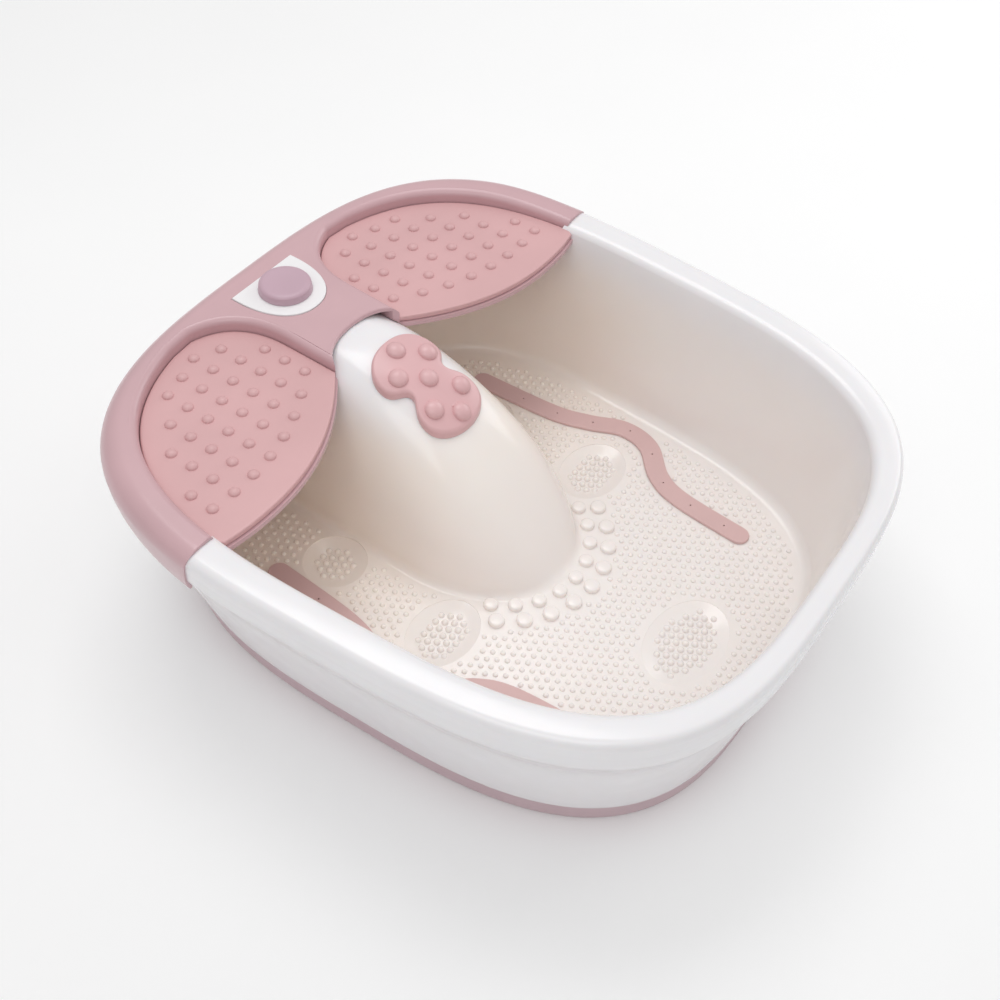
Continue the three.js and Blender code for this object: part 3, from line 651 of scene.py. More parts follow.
def clear_floor(x, y):
    """True where a small floor nub has room."""
    wall_margin, dish_margin, stud_margin, strip_margin = 10, 2.5, 3.2, 2.6
    if inside_outline(x, y, BASIN, (BASIN_TOP - FLOOR_TOP) * BASIN_DRAFT + wall_margin) > 1:
        return False
    hump_margin = HUMP_FILLET + 2.2
    half, nose = HUMP_HALF + hump_margin, HUMP_NOSE_LENGTH + hump_margin
    if y > HUMP_ROUND_Y:
        if abs(x) < half:
            return False
    elif (x / half) ** 2 + ((HUMP_ROUND_Y - y) / nose) ** 2 < 1:
        return False
    for dish_x, dish_y, half_x, half_y, _ in DISHES:
        if ((x - dish_x) / (half_x + dish_margin)) ** 2 + ((y - dish_y) / (half_y + dish_margin)) ** 2 < 1:
            return False
    if any(math.hypot(x - a, y - b) < size + stud_margin for a, b, size in STUDS):
        return False
    return all(math.hypot(abs(x) - a, y - b) > STRIP_WIDTH / 2 + strip_margin for a, b in STRIP_FINE)


def floor_nubs():
    """Staggered small nubs over the floor, the studs, and the nubs in the dishes."""
    pitch_x, pitch_y = 5.9, 5.1
    made = []
    for row in range(-36, 37):
        for column in range(-27, 28):
            x = (column + (row % 2) / 2) * pitch_x
            y = row * pitch_y
            if clear_floor(x, y):
                made.append(nub(x, y, FLOOR_TOP, 1.7, 1.4, 8))
    for place in STUDS:
        made.append(stud(*place, 3.1))
    for place in DISHES:
        made.extend(dish_nubs(*place))
    return made


def box(low, high):
    corners = [(low[0], low[1]), (high[0], low[1]), (high[0], high[1]), (low[0], high[1])]
    return prism(corners, low[2], high[2])


def gland_place():
    low, high = node_box("cord_gland")
    return (low.x + high.x) / 2, (low.z + high.z) / 2


def tub_body():
    """Tub with the hump, the dry space under it and the well below the console."""
    block_half = WELL_HALF + 2.4
    block_low = (-block_half, WELL_FRONT - WALL, WELL_FLOOR - WALL)
    well_block = box(block_low, (block_half, WELL_REAR + WALL, PAD_TOP))
    dry = cut(hump(-WALL, FLOOR_UNDER - 8), copy_of(well_block))
    body = add(tub_sheet(), hump(0, FLOOR_UNDER + 1, HUMP_FILLET))
    cut(body, dry)
    add(body, well_block)
    cut(body, box((-WELL_HALF, WELL_FRONT, WELL_FLOOR), (WELL_HALF, WELL_REAR, 200)))
    cut(body, rod(SHAFT_HOLE_R, WELL_FLOOR - 8, WELL_FLOOR + 8, 0, KNOB_Y))
    add(body, gathered([dish_underside(*place) for place in DISHES]))
    cut(body, gathered([dish(*place) for place in DISHES]))
    add(body, gathered(floor_nubs()))
    cut(body, *(rod(PEG_R + 0.5, 100, 150, 0, y) for y in PEG_PLACES))
    gland_x, gland_z = gland_place()
    cut(body, laid_along_y(rod(GLAND_R + 0.4, 165, 200), gland_x, gland_z))
    return cut(body, *(rod(SPIGOT_R + 0.5, 28, 37, side * SPIGOT[0], SPIGOT[1]) for side in (-1, 1)))


# ---------- deck ----------
def rest_edge_y(x):
    """Front edge of the foot rests, bowed to the rear beside the hump."""
    return 61.5 + 33 * (abs(abs(x) - 130) / 92) ** 2.2


def lid(inward, bottom):
    """Crowned lid over the whole outline, shrunk by inward for its inner side."""
    skirt = [(5.2, bottom), (4.4, bottom + 0.3), (3.9, bottom + 1.2)]
    skirt += [(2.6, 110), (1.2, 115), (0, 121), (-0.8, 127)]
    rings = [plain_ring(RIM, inset + inward, z) for inset, z in skirt]
    across = 10.5
    shoulder_z = 133
    for i in range(13):
        turn = math.pi / 2 * i / 12
        inset = -DECK_PROUD + across * (1 - math.cos(turn))
        ring = [outline_point(angle, RIM, inset + inward) for angle in TURNS]
        rings.append([(x, y, lerp(shoulder_z, deck_top_z(y), math.sin(turn)) - inward) for x, y in ring])
    edge = [outline_point(angle, RIM, 13 + inward) for angle in TURNS]
    for i in range(20):
        share = 1 - i / 20
        ring = [(x * share, MIDDLE_Y + (y - MIDDLE_Y) * share) for x, y in edge]
        rings.append([(x, y, deck_top_z(y) - inward) for x, y in ring])
    return loft(rings)


def deck_plan():
    """Plan of the deck: along the foot rests, round the notch for the hump, and wide of the rest."""
    wide = 200
    steps = 30
    inner = 31
    notch_half = 24
    notch_y = 114.3
    edge = rest_edge_y(inner) - TRAY_LIP
    plan = [(-wide, SEAM_Y), (-PAD_OUTER_X - 2, SEAM_Y)]
    for i in range(steps + 1):
        x = lerp(-PAD_OUTER_X, -inner, i / steps)
        plan.append((x, rest_edge_y(x) - TRAY_LIP))
    left, right = (-inner, edge), (inner, edge)
    middle = (0, notch_y)
    plan += bend(left, (-notch_half, notch_y), middle, 16)[1:]
    plan += bend(middle, (notch_half, notch_y), right, 16)[1:]
    for i in range(1, steps + 1):
        x = lerp(inner, PAD_OUTER_X, i / steps)
        plan.append((x, rest_edge_y(x) - TRAY_LIP))
    return [*plan, (PAD_OUTER_X + 2, SEAM_Y), (wide, SEAM_Y), (wide, 230), (-wide, 230)]


def leaning(point, z):
    """Moves the side ends of the deck's plan back with depth."""
    x, y = point
    if abs(x) > PAD_OUTER_X + 1 and y < SEAM_Y + 5:
        return x, y + skirt_end_y(z) - SEAM_Y, z
    return x, y, z


def deck_block():
    """What is kept of the deck, with rounded edges at the top."""
    plan = deck_plan()
    rings = [[leaning(point, 90) for point in plan]]
    for inset, drop in rounded(1.6):
        rings.append([leaning(point, deck_top_z(point[1]) - drop) for point in grown(plan, -inset)])
    rings.append([(x, y, 175) for x, y, _ in rings[-1]])
    return loft(rings)


def rest_plan(side, grow, lip):
    """Outline of a foot rest on side +1 or -1, grown by grow, its front edge moved by lip."""
    inner_x = PAD_INNER_X - grow
    corner_x, corner_y = PAD_CORNER
    steps = 30
    points = []
    for i in range(steps + 1):
        x = lerp(PAD_OUTER_X + grow, inner_x, i / steps)
        points.append((x, rest_edge_y(x) + lip))
    points += bend((inner_x, 140), (inner_x + 1, PAD_CORNER_BEND_Y + grow), (corner_x, corner_y + grow), 20)
    for i in range(1, steps + 1):
        turn = math.radians(lerp(75.5, 13.2, i / steps))
        points.append(outline_point(turn, PAD, -grow))
    plan = [(side * x, y) for x, y in points]
    return plan[::-1] if side > 0 else plan


def tray_pocket(side, floor):
    """Cutter of the recess for a foot rest, with a broad round along its top edge."""
    rings = [at_height(rest_plan(side, GAP, -20), floor)]
    for flare, drop in rounded(4.2):
        rings.append([(x, y, deck_top_z(y) - drop) for x, y in rest_plan(side, GAP + flare, -20)])
    rings.append([(x, y, 170) for x, y, _ in rings[-1]])
    return loft(rings)


def bezel_plan(grow):
    """D shape, straight at the rear and round at the front."""
    half = 26 + grow
    rear = 183.3 + grow
    front = 139.7 - grow
    plan = bezier((-half, rear), (-half - 1.5, 158), (-18.5, front), (0, front), 24)
    plan += bezier((0, front), (18.5, front), (half + 1.5, 158), (half, rear), 24)
    return [*plan, (half, rear)]


def deck_body():
    """Deck with a tray for each foot rest, a place for the bezel and the notch for the hump."""
    body = cut(lid(0, SKIRT_BOTTOM), lid(DECK_WALL, SKIRT_BOTTOM - 20))
    tray_bottom = LEDGE_TOP + 0.7
    for side in (-1, 1):
        tray = prism(rest_plan(side, TRAY_WALL, -TRAY_LIP), tray_bottom, 160)
        add(body, combine(tray, lid(0, SKIRT_BOTTOM), "INTERSECT"))
    combine(body, deck_block(), "INTERSECT")
    cut(body, *(tray_pocket(side, PAD_LOW - GAP) for side in (-1, 1)))
    cut(body, prism(bezel_plan(GAP), BEZEL_LOW - GAP, 170), rod(SHAFT_HOLE_R, 130, 150, 0, KNOB_Y))
    return cut(body, hump(GAP, FLOOR_TOP))


# ---------- foot rests ----------
def pad_nub_places():
    """Columns of nubs whose rows run parallel to the bowed front edge."""
    first_x, first_y = 40.6, 7
    pitch_x, pitch_y = 15.4, 15.2
    border = 7.2
    outline = rest_plan(1, 0, 0)
    corners = Vector((PAD_INNER_X, PAD_CORNER_BEND_Y)), Vector(PAD_CORNER)
    places = []
    for column in range(8):
        x = first_x + pitch_x * column
        for row in range(9):
            y = rest_edge_y(x) + first_y + pitch_y * row
            away = min(math.dist((x, y), point) for point in outline)
            inside = inside_outline(x, y, PAD, 0) < 1 and corner_side(x, y, *corners) > 0
            if inside and away > border:
                places.append((x, y))
    return places


def corner_side(x, y, a, b):
    """Positive in front of the line from a to b, moved back a little to the round of the corner."""
    back = 3
    return (b.x - a.x) * (a.y + back - y) - (b.y - a.y) * (a.x - x)


def foot_rest(side):
    """Plate with a rounded edge and its nubs."""
    edge = 1.1
    rings = [at_height(rest_plan(side, -0.4, 0.4), PAD_LOW), at_height(rest_plan(side, 0, 0), PAD_LOW + 0.4)]
    for inset, drop in rounded(edge)[:-1]:
        rings.append(at_height(rest_plan(side, -inset, inset), PAD_TOP - 0.02 - drop))
    rings.append(at_height(rest_plan(side, -edge - 0.6, edge + 0.6), PAD_TOP))
    nubs = [nub(side * x, y, PAD_TOP, 3.4, 2.2, 20) for x, y in pad_nub_places()]
    return add(loft(rings), gathered(nubs))


# ---------- console ----------
def bezel_body():
    rings = []
    for inset, z in ((0.3, BEZEL_LOW), (0, BEZEL_LOW + 0.4)):
        rings.append(at_height(bezel_plan(-inset), z))
    for inset, drop in rounded(0.7):
        rings.append(at_height(bezel_plan(-inset), BEZEL_TOP - drop))
    return cut(loft(rings), rod(SHAFT_HOLE_R, 130, 150, 0, KNOB_Y))


def knob_body():
    """Knob with a slightly dished top, hollow below round its hub."""
    low, top = KNOB_LOW.z, KNOB_HIGH.z
    crown = 12.4
    hub, bore = 5.5, 3.3
    profile = [(0, top - 0.55), (5, top - 0.5), (9, top - 0.33), (11.2, top - 0.1), (crown, top)]
    for turn in QUARTER[1:]:
        profile.append((crown + 3.4 * math.sin(turn), top - 2.2 * (1 - math.cos(turn))))
    profile += [(KNOB_R - 0.2, low + 0.6), (KNOB_R, low), (KNOB_R - 2, low), (KNOB_R - 3, low + 2.2)]
    profile += [(hub, low + 2.2), (hub, low + 1.5), (bore, low + 1.5), (bore, low + 3.3), (0, low + 3.3)]
    return turned(profile, 0, KNOB_Y, 96)


# ---------- massage head ----------
def peanut_plan():
    """Outline of the plate: a wide lobe at the rear and a narrower one in front, anticlockwise."""
    right = [(0, 26.5), (14, 26.5), (23, 33), (23, 41.5), (23, 51), (15.5, 52), (15.5, 57)]
    right += [(15.5, 62), (24.6, 62), (24.6, 71), (24.6, 82), (15, 89.5), (0, 89.5)]
    plan = []
    for i in range(0, 12, 3):
        plan += bezier(*right[i : i + 4], 20)
    left = [(-x, y) for x, y in reversed([*plan, right[-1]])]
    return plan + left[:-1]


def hump_surface_z(x, y, grow):
    share = min(1.0, abs(x / (hump_half(y) + grow)) ** HUMP_SIDE_POWER)
    return FLOOR_TOP + (hump_height(y) + grow) * (1 - share) ** (1 / HUMP_TOP_POWER)


def plate_ring(plan, share, grow):
    """The outline drawn in towards its spine and laid on the hump at the height grow."""
    front, rear = PLATE_SPINE
    ring = []
    for x, y in plan:
        spine_y = min(max(y, front), rear)
        px, py = x * share, lerp(spine_y, y, share)
        ring.append((px, py, hump_surface_z(px, py, grow)))
    return ring


def massage_plate():
    """Plate that follows the hump: its underside, its rounded edge and its top."""
    plan = peanut_plan()
    top = PLATE_GAP + PLATE_THICK
    edge = 2.0
    rings = []
    for i in range(12):
        rings.append(plate_ring(plan, 0.02 + 0.98 * i / 11, PLATE_GAP))
    for turn in QUARTER[1:]:
        inset = edge * (1 - math.cos(turn))
        rings.append(plate_ring(grown(plan, -inset), 1, lerp(top - edge, top, math.sin(turn))))
    inner = grown(plan, -edge)
    for i in range(1, 12):
        rings.append(plate_ring(inner, 1 - 0.98 * i / 11, top))
    return loft(rings)


def massage_head():
    """Plate with its domes, each square to the hump, and with two pegs below."""
    body = massage_plate()
    turns = [math.pi * i / 16 for i in range(17)]
    dome_profile = [(DOME_R * math.sin(turn), -DOME_HEIGHT * math.cos(turn)) for turn in turns]
    domes = []
    for x, y in PLATE_DOMES:
        z = hump_surface_z(x, y, PLATE_GAP + PLATE_THICK)
        dome = turned(dome_profile, sides=32)
        slope_y = (hump_surface_z(x, y + 1, 5) - hump_surface_z(x, y - 1, 5)) / 2
        slope_x = (hump_surface_z(x + 1, y, 5) - hump_surface_z(x - 1, y, 5)) / 2
        lean = Vector((-slope_x, -slope_y, 1)).to_track_quat("Z", "Y").to_matrix().to_4x4()
        dome.data.transform(Matrix.Translation((x, y, z)) @ lean)
        domes.append(dome)
    add(body, gathered(domes))
    for y in PEG_PLACES:
        top = hump_surface_z(0, y, PLATE_GAP)
        profile = [(0, top - 12), (PEG_R - 0.6, top - 12), (PEG_R, top - 11.2)]
        profile += [(PEG_R, top + 3), (0, top + 3)]
        add(body, turned(profile, 0, y, 32))
    return body


# ---------- bubble strips ----------
def strip_plan(inset):
    """Outline of a strip along its wavy line, with round ends."""
    half = STRIP_WIDTH / 2 - inset
    line = STRIP_FINE
    sides = ([], [])
    for i, (x, y) in enumerate(line):
        before, after = line[max(0, i - 1)], line[min(len(line) - 1, i + 1)]
        heading = math.atan2(after[1] - before[1], after[0] - before[0])
        sides[0].append((x + half * math.sin(heading), y - half * math.cos(heading)))
        sides[1].append((x - half * math.sin(heading), y + half * math.cos(heading)))
    ends = []
    for (x, y), near in ((line[-1], line[-2]), (line[0], line[1])):
        heading = math.atan2(y - near[1], x - near[0])
        turns = [heading + math.radians(degrees) for degrees in range(-80, 81, 10)]
        ends.append([(x + half * math.cos(turn), y + half * math.sin(turn)) for turn in turns])
    return [*sides[0], *ends[0], *reversed(sides[1]), *ends[1]]


def bubble_strip(side):
    """Strip with air holes along its middle and a spigot through the floor."""
    low = FLOOR_TOP + GAP
    top = low + STRIP_THICK
    hole_pitch = 24
    rings = [at_height(strip_plan(0), low)]
    for inset, drop in rounded(0.7):
        rings.append(at_height(strip_plan(inset), top - drop))
    body = loft(rings)
    holes = []
    travel = 0.0
    for a, b in zip(STRIP_FINE[2:], STRIP_FINE[3:-2]):
        travel += math.dist(a, b)
        if travel > hole_pitch:
            travel = 0.0
            holes.append(rod(0.6, low - 1, top + 1, *b, sides=12))
    cut(body, gathered(holes))
    add(body, cut(rod(SPIGOT_R, 18, low + 0.5, *SPIGOT), rod(3, 10, low - 0.1, *SPIGOT)))
    if side < 0:
        body.data.transform(Matrix.Scale(-1, 4, (1, 0, 0)))
        body.data.flip_normals()
    return body


# ---------- base ----------
def middles(prefix):
    """Name, middle in plan and lowest and highest Z of each CAD node whose name starts with prefix."""
    made = []
    for name in sorted(frame["nodes"]):
        if name.startswith(prefix):
            low, high = node_box(name)
            made.append((name, (low.x + high.x) / 2, (low.y + high.y) / 2, low.z, high.z))
    return made


FOOT_R = 10.0


def base_body():
    """Base plate with posts for the motor, recesses for screws and feet, and cooling slots."""
    bottom = node_box("base_plate")[0].z
    post_top = 28
    outside = [(4, bottom), (2.4, bottom + 0.35), (1.3, bottom + 1.3), (0.9, bottom + 2.8), (0.3, 12)]
    outside += [(0, BAND_TOP - 0.8), (0.4, BAND_TOP)]
    inside = [(WALL + 3, bottom + WALL), (WALL, bottom + 6), (WALL, BAND_TOP + 5)]
    shell, hollow = (loft([plain_ring(BASE, inset, z) for inset, z in side]) for side in (outside, inside))
    body = cut(shell, hollow)
    for _, x, y, low, _ in middles("motor_screw"):
        add(body, cut(rod(6, bottom + 2, post_top, x, y), rod(2.1, low - 4, post_top + 2, x, y)))
    for _, x, y, _, _ in middles("base_screw"):
        cut(body, rod(4.2, 0, 3.4, x, y), rod(2.2, 0, 8, x, y))
    for _, x, y, _, _ in middles("rubber_foot"):
        cut(body, rod(FOOT_R + 0.6, 0, 3.3, x, y, 64))
    slot_length, slot_width, slot_pitch, motor_y = 28, 1.8, 4.4, 62
    for row in range(-4, 5):
        y = motor_y + row * slot_pitch
        low = (-slot_length / 2, y - slot_width / 2, 0)
        cut(body, box(low, (slot_length / 2, y + slot_width / 2, bottom + WALL + 1)))
    return body


def rubber_foot(x, y, low, high):
    """Foot with a raised ring on its underside."""
    radius = FOOT_R
    profile = [(0, low + 0.5), (4, low + 0.5), (4.6, low), (6.4, low), (7, low + 0.5), (7.6, low)]
    profile += [(radius - 0.9, low), (radius - 0.25, low + 0.3), (radius, low + 1), (radius, high), (0, high)]
    return turned(profile, x, y, 64)


def cross_screw(x, y, low, high):
    """Pan-head screw that points up, with a threaded shank and a cross recess in its head."""
    head, shank, core, pitch = 3.6, 1.6, 1.25, 0.7
    head_top = low + 1.4
    profile = [(0, low), (head - 0.9, low), (head - 0.25, low + 0.25), (head, low + 0.8), (head, head_top)]
    profile.append((shank, head_top))
    thread_top = high - 1.2
    turns = int((thread_top - low - 2) / pitch)
    for i in range(turns):
        z = low + 2 + i * pitch
        profile += [(core, z), (shank, z + pitch / 2)]
    profile += [(1.0, thread_top), (0, high)]
    body = turned(profile, x, y, 32)
    for across, ahead in ((1.9, 0.36), (0.36, 1.9)):
        cut(body, box((x - across, y - ahead, low - 1), (x + across, y + ahead, low + 0.9)))
    return body


def gland_body():
    low, high = node_box("cord_gland")
    x, z = gland_place()
    flange = high.z - z
    start = high.y - 3
    profile = [(0, low.y), (GLAND_R, low.y), (GLAND_R, start), (flange, start), (flange, high.y - 1.2)]
    profile += [(flange - 0.35, high.y - 0.4), (flange - 1.2, high.y), (0, high.y)]
    return laid_along_y(cut(turned(profile), rod(3.6, low.y - 2, high.y + 2)), x, z)


# ---------- materials ----------
def linear(hexadecimal):
    """Linear colour of an sRGB hex value."""
    made = []
    for shift in (16, 8, 0):
        value = (hexadecimal >> shift & 255) / 255
        made.append(value / 12.92 if value <= 0.04045 else ((value + 0.055) / 1.055) ** 2.4)
    return (*made, 1)


class Nodes:
    """Short way to lay out the nodes of one material."""

    def __init__(self, name):
        self.material = bpy.data.materials.new(name)
        self.material.use_nodes = True
        self.tree = self.material.node_tree
        self.shader = self.tree.nodes["Principled BSDF"]
        self.coordinates = self.add("ShaderNodeTexCoord")

    def add(self, kind, **values):
        node = self.tree.nodes.new(kind)
        for key, value in values.items():
            setattr(node, key, value)
        return node

    def link(self, source, target):
        self.tree.links.new(source, target)

    def noise(self, scale, detail=3.0):
        node = self.add("ShaderNodeTexNoise")
        node.inputs["Scale"].default_value = scale
        node.inputs["Detail"].default_value = detail
        self.link(self.coordinates.outputs["Object"], node.inputs["Vector"])
        return node.outputs["Fac"]

    def spread(self, source, low, high):
        """Maps the middle of a noise to the range low to high."""
        node = self.add("ShaderNodeMapRange")
        for key, value in {"From Min": 0.3, "From Max": 0.7, "To Min": low, "To Max": high}.items():
            node.inputs[key].default_value = value
        self.link(source, node.inputs["Value"])
        return node.outputs["Result"]

    def mix(self, share, a, b):
        node = self.add("ShaderNodeMix", data_type="RGBA")
        self.link(share, node.inputs["Factor"])
        for socket, value in ((node.inputs["A"], a), (node.inputs["B"], b)):
            if isinstance(value, tuple):
                socket.default_value = value
            else:
                self.link(value, socket)
        return node.outputs["Result"]

    def paint(self, share, a, b):
        """Gives the shader a base colour between a and b."""
        self.link(self.mix(share, a, b), self.shader.inputs["Base Color"])

    def roughen(self, source, roughness, least, most):
        """Lets the roughness wander between two shares of its value."""
        wandering = self.spread(source, roughness * least, roughness * most)
        self.link(wandering, self.shader.inputs["Roughness"])

    def bump(self, source, strength, distance):
        node = self.add("ShaderNodeBump")
        node.inputs["Strength"].default_value = strength
        node.inputs["Distance"].default_value = distance
        self.link(source, node.inputs["Height"])
        self.link(node.outputs["Normal"], self.shader.inputs["Normal"])

    def set(self, **values):
        for key, value in values.items():
            self.shader.inputs[key.replace("_", " ")].default_value = value


def tinted(color, share):
    """A colour made darker (below 1) or lighter (above 1)."""
    return tuple(min(1.0, channel * share) for channel in color[:3]) + (1,)


def plastic(name, color, roughness, coat=0.0, grain=1800, depth=0.00002, mottle=0.03):
    """Moulded plastic: faint mottling, a roughness that wanders and a fine skin texture."""
    nodes = Nodes(name)
    tone = nodes.spread(nodes.noise(24), 0, 1)
    base = linear(color)
    nodes.paint(tone, tinted(base, 1 - mottle), tinted(base, 1 + mottle))
    nodes.roughen(nodes.noise(60, 4), roughness, 0.85, 1.15)
    nodes.bump(nodes.noise(grain, 2), 0.15, depth)
    nodes.set(IOR=1.5, Coat_Weight=coat, Coat_Roughness=0.18)
    return nodes


def tub_plastic():
    """Polished white plastic, with painted warm bounce light down in the basin."""
    nodes = plastic("white_gloss_moulding", 0xF1EFF1, 0.2, coat=0.3, grain=600, depth=0.00001, mottle=0.012)
    outside = nodes.shader.inputs["Base Color"].links[0].from_socket
    tone = nodes.spread(nodes.noise(14), 0, 1)
    # Painted warm bounce light: the basin takes a lighter cream by the stored share, in place of light that
    # bounces round inside it.
    painted_bounce_cream = nodes.mix(tone, linear(0xFCF1E6), linear(0xFAECDF))
    basin = nodes.add("ShaderNodeAttribute", attribute_name="painted_bounce_light")
    nodes.paint(basin.outputs["Fac"], outside, painted_bounce_cream)
    nodes.set(Subsurface_Weight=0.08, Subsurface_Scale=0.004)
    nodes.shader.inputs["Subsurface Radius"].default_value = (1.0, 0.6, 0.4)
    return nodes.material


def metal(name, color, roughness, scale):
    """Drawn or rolled metal with fine streaks and dull patches."""
    nodes = Nodes(name)
    stretch = nodes.add("ShaderNodeMapping")
    stretch.inputs["Scale"].default_value = (1, 1, 14)
    nodes.link(nodes.coordinates.outputs["Object"], stretch.inputs["Vector"])
    streaks = nodes.add("ShaderNodeTexNoise")
    streaks.inputs["Scale"].default_value = scale
    nodes.link(stretch.outputs["Vector"], streaks.inputs["Vector"])
    base = linear(color)
    tone = nodes.spread(nodes.noise(90), 0, 1)
    nodes.paint(tone, tinted(base, 0.88), tinted(base, 1.05))
    nodes.roughen(streaks.outputs["Fac"], roughness, 0.7, 1.4)
    nodes.bump(streaks.outputs["Fac"], 0.3, 0.00003)
    nodes.set(Metallic=1.0)
    return nodes.material


def rubber(name, color):
    """Dull rubber, with a deeper grain than the plastic."""
    nodes = plastic(name, color, 0.8, grain=2600, depth=0.00006, mottle=0.08)
    nodes.set(Specular_IOR_Level=0.3)
    return nodes.material


MATERIALS = {
    "white_gloss": tub_plastic(),
    "pink_gloss": plastic("pink_gloss_moulding", 0xCEA9AE, 0.34, coat=0.3).material,
    "pink_pad": plastic("pink_pad_moulding", 0xD7ABAC, 0.42, coat=0.05, grain=2400, depth=0.00003).material,
    "white_bezel": plastic("white_bezel_moulding", 0xF2F0F1, 0.34, grain=1500).material,
    "lilac_knob": plastic("lilac_knob_moulding", 0xC6A7B4, 0.34, grain=2600, depth=0.00003).material,
    "pink_attachment": plastic("pink_attachment_moulding", 0xDFB3B5, 0.34, coat=0.2).material,
    "strip_pink": plastic("strip_pink_moulding", 0xD8B6B4, 0.45, grain=2400, depth=0.00004).material,
    "pink_base": plastic("pink_base_moulding", 0xC9AFB5, 0.38).material,
    "grey_rubber": rubber("grey_rubber_moulding", 0x8D8D90),
    "hose_rubber": rubber("silicone_hose", 0xE0DDD6),
    "black_plastic": plastic("black_plastic_moulding", 0x2A2A2C, 0.55, grain=2200, depth=0.00005).material,
    "grey_plastic": plastic("grey_plastic_moulding", 0xA9ABAD, 0.5, grain=2200).material,
    "steel": metal("zinc_plated_steel", 0xB9BCC0, 0.3, 700),
    "aluminium": metal("bare_aluminium", 0xC8CACC, 0.4, 500),
}


# ---------- pieces ----------
def paint_basin_bounce_light(mesh):
    """Stores how much painted warm bounce light each point gets: 0 on the rim, more down in the basin and
    towards the rear, under the deck.
    """
    front_share = 0.4
    layer = mesh.attributes.new("painted_bounce_light", "FLOAT", "POINT")
    for vertex, value in zip(mesh.vertices, layer.data):
        x, y, z = vertex.co / MM
        inset = (BASIN_TOP - z) * BASIN_DRAFT
        # The share of painted bounce light grows with depth in the basin and towards the rear, under the
        # deck.
        within = 1 - smoothstep(1.01, 1.05, inside_outline(x, y, BASIN, inset))
        depth = 1 - smoothstep(100, RIM_TOP - 4, z)
        value.value = within * depth * lerp(front_share, 1, smoothstep(-60, 110, y))


def finish_piece(made, name, node, slot):
    """Scales a made body to metres, shades it and lets it stand for its CAD node."""
    made.name = name
    made.data.name = name
    made.data.transform(Matrix.Scale(MM, 4))
    made.data.materials.clear()
    made.data.materials.append(MATERIALS[slot])
    made.data.shade_smooth()
    made.data.set_sharp_from_angle(angle=math.radians(38))
    weighted = made.modifiers.new("even_shading", "WEIGHTED_NORMAL")
    weighted.keep_sharp = True
    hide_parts(node)
    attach(made, frame["nodes"][node]["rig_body"])
    return made


def make_pieces():
    tub = finish_piece(tub_body(), "tub_moulding", "tub_shell", "white_gloss")
    paint_basin_bounce_light(tub.data)
    finish_piece(deck_body(), "deck_moulding", "deck_cover", "pink_gloss")
    for side, name in ((-1, "left"), (1, "right")):
        finish_piece(foot_rest(side), f"foot_rest_pad_{name}", f"foot_rest_{name}", "pink_pad")
        finish_piece(bubble_strip(side), f"air_strip_{name}", f"bubble_strip_{name}", "strip_pink")
    finish_piece(bezel_body(), "bezel_moulding", "dial_bezel", "white_bezel")
    finish_piece(knob_body(), "knob_moulding", "control_knob", "lilac_knob")
    finish_piece(massage_head(), "massage_moulding", "massage_attachment", "pink_attachment")
    finish_piece(base_body(), "base_moulding", "base_plate", "pink_base")
    for name, x, y, low, high in middles("rubber_foot"):
        finish_piece(rubber_foot(x, y, low, high), f"{name}_moulding", name, "grey_rubber")
    for name, x, y, low, high in middles("base_screw"):
        finish_piece(cross_screw(x, y, low, high), f"{name}_threaded", name, "steel")
    finish_piece(gland_body(), "gland_moulding", "cord_gland", "black_plastic")


def dress_frame():
    """Better materials for the CAD nodes that aren't replaced, such as the drive and the wiring."""
    for node in frame["nodes"].values():
        for slot in node.material_slots:
            slot.material = MATERIALS[slot.material.name]


# ---------- studio ----------
def add_floor():
    bpy.ops.mesh.primitive_grid_add(x_subdivisions=8, y_subdivisions=8, size=8)
    floor = bpy.context.object
    floor.name = "studio_floor"
    nodes = Nodes("studio_floor")
    tone = nodes.spread(nodes.noise(3), 0, 1)
    nodes.paint(tone, (0.93, 0.93, 0.93, 1), (0.95, 0.95, 0.95, 1))
    nodes.set(Roughness=0.9, Specular_IOR_Level=0.1, Emission_Color=(1, 1, 1, 1), Emission_Strength=0.04)
    floor.data.materials.append(nodes.material)


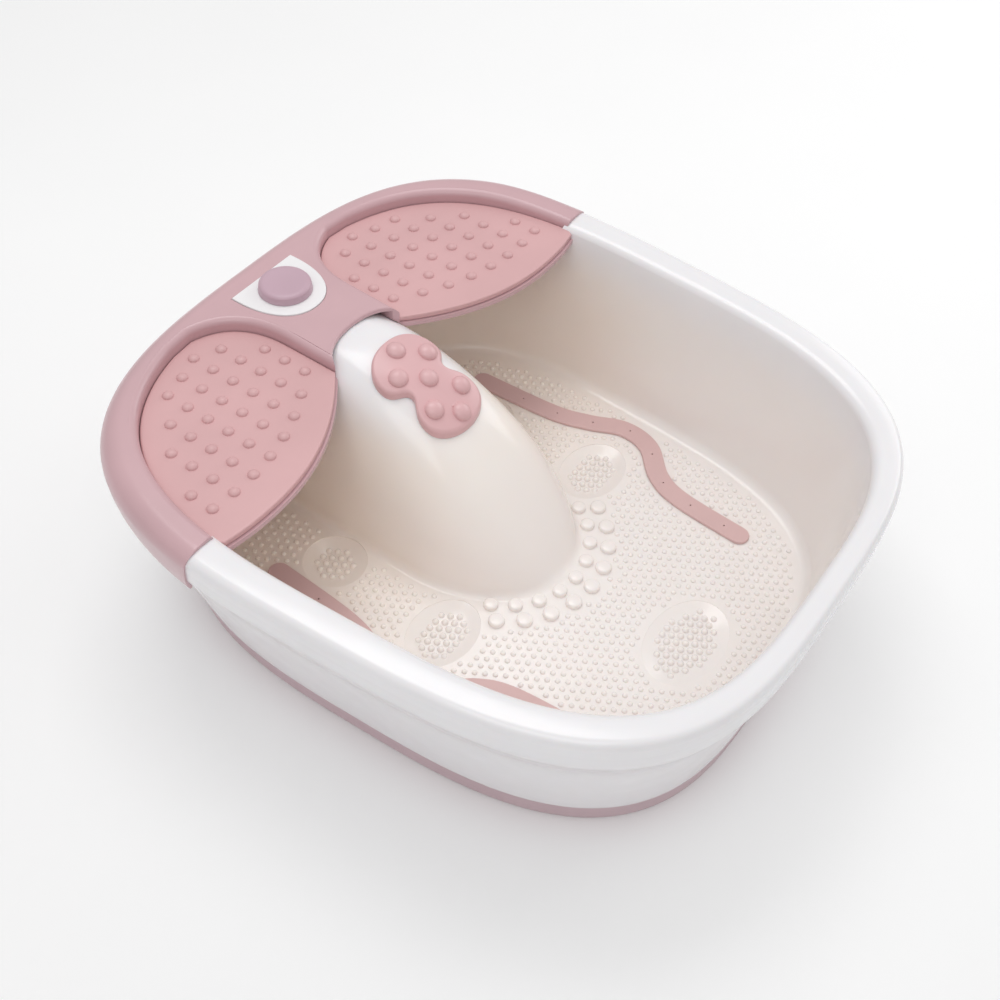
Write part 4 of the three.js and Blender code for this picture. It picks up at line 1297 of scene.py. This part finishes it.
def add_light(name, place, target, size, watts):
    data = bpy.data.lights.new(name, "AREA")
    data.shape = "RECTANGLE"
    data.size, data.size_y = size
    data.energy = watts
    lamp = bpy.data.objects.new(name, data)
    bpy.context.scene.collection.objects.link(lamp)
    lamp.location = place
    lamp.rotation_euler = (Vector(target) - Vector(place)).to_track_quat("-Z", "Y").to_euler()


def add_lights():
    world = bpy.data.worlds.new("studio")
    world.use_nodes = True
    background = world.node_tree.nodes["Background"]
    background.inputs["Color"].default_value = (1, 1, 1, 1)
    # Brighter overhead than at the horizon, as in a light tent.
    direction = world.node_tree.nodes.new("ShaderNodeTexCoord")
    upwards = world.node_tree.nodes.new("ShaderNodeSeparateXYZ")
    strength = world.node_tree.nodes.new("ShaderNodeMapRange")
    strength.inputs["To Min"].default_value = 0.36
    strength.inputs["To Max"].default_value = 0.8
    for source, target in (
        (direction.outputs["Generated"], upwards.inputs["Vector"]),
        (upwards.outputs["Z"], strength.inputs["Value"]),
        (strength.outputs["Result"], background.inputs["Strength"]),
    ):
        world.node_tree.links.new(source, target)
    bpy.context.scene.world = world
    middle = (0, 0, 0.08)
    add_light("softbox_top", (0.25, 0.4, 1.4), middle, (0.8, 0.6), 4.2)
    add_light("softbox_left", (-0.75, -0.3, 1.25), middle, (0.9, 0.7), 2.6)
    add_light("softbox_right", (1.25, -0.3, 0.7), middle, (0.9, 0.7), 3.0)


AZIMUTH = math.radians(-57.277)
ELEVATION = math.radians(48.736)
ROLL = math.radians(3.532)
DISTANCE = 0.8094
LENS = 48.65
AIM_OFFSET = Vector((0, 0.0044, -0.0099))


def add_camera():
    """Camera that looks down at the bath from its front left."""
    low, high = cad_box
    aim = (low + high) / 2 + AIM_OFFSET
    data = bpy.data.cameras.new("camera")
    data.lens = LENS
    data.sensor_width = 36
    data.clip_start = 0.05
    camera = bpy.data.objects.new("camera", data)
    bpy.context.scene.collection.objects.link(camera)
    turn = Euler((math.pi / 2 - ELEVATION, 0, AZIMUTH)).to_matrix() @ Matrix.Rotation(ROLL, 3, "Z")
    camera.matrix_world = Matrix.Translation(aim + turn @ Vector((0, 0, DISTANCE))) @ turn.to_4x4()
    bpy.context.scene.camera = camera


add_camera()
make_pieces()
dress_frame()
add_floor()
add_lights()
bpy.context.scene.view_settings.view_transform = "Standard"
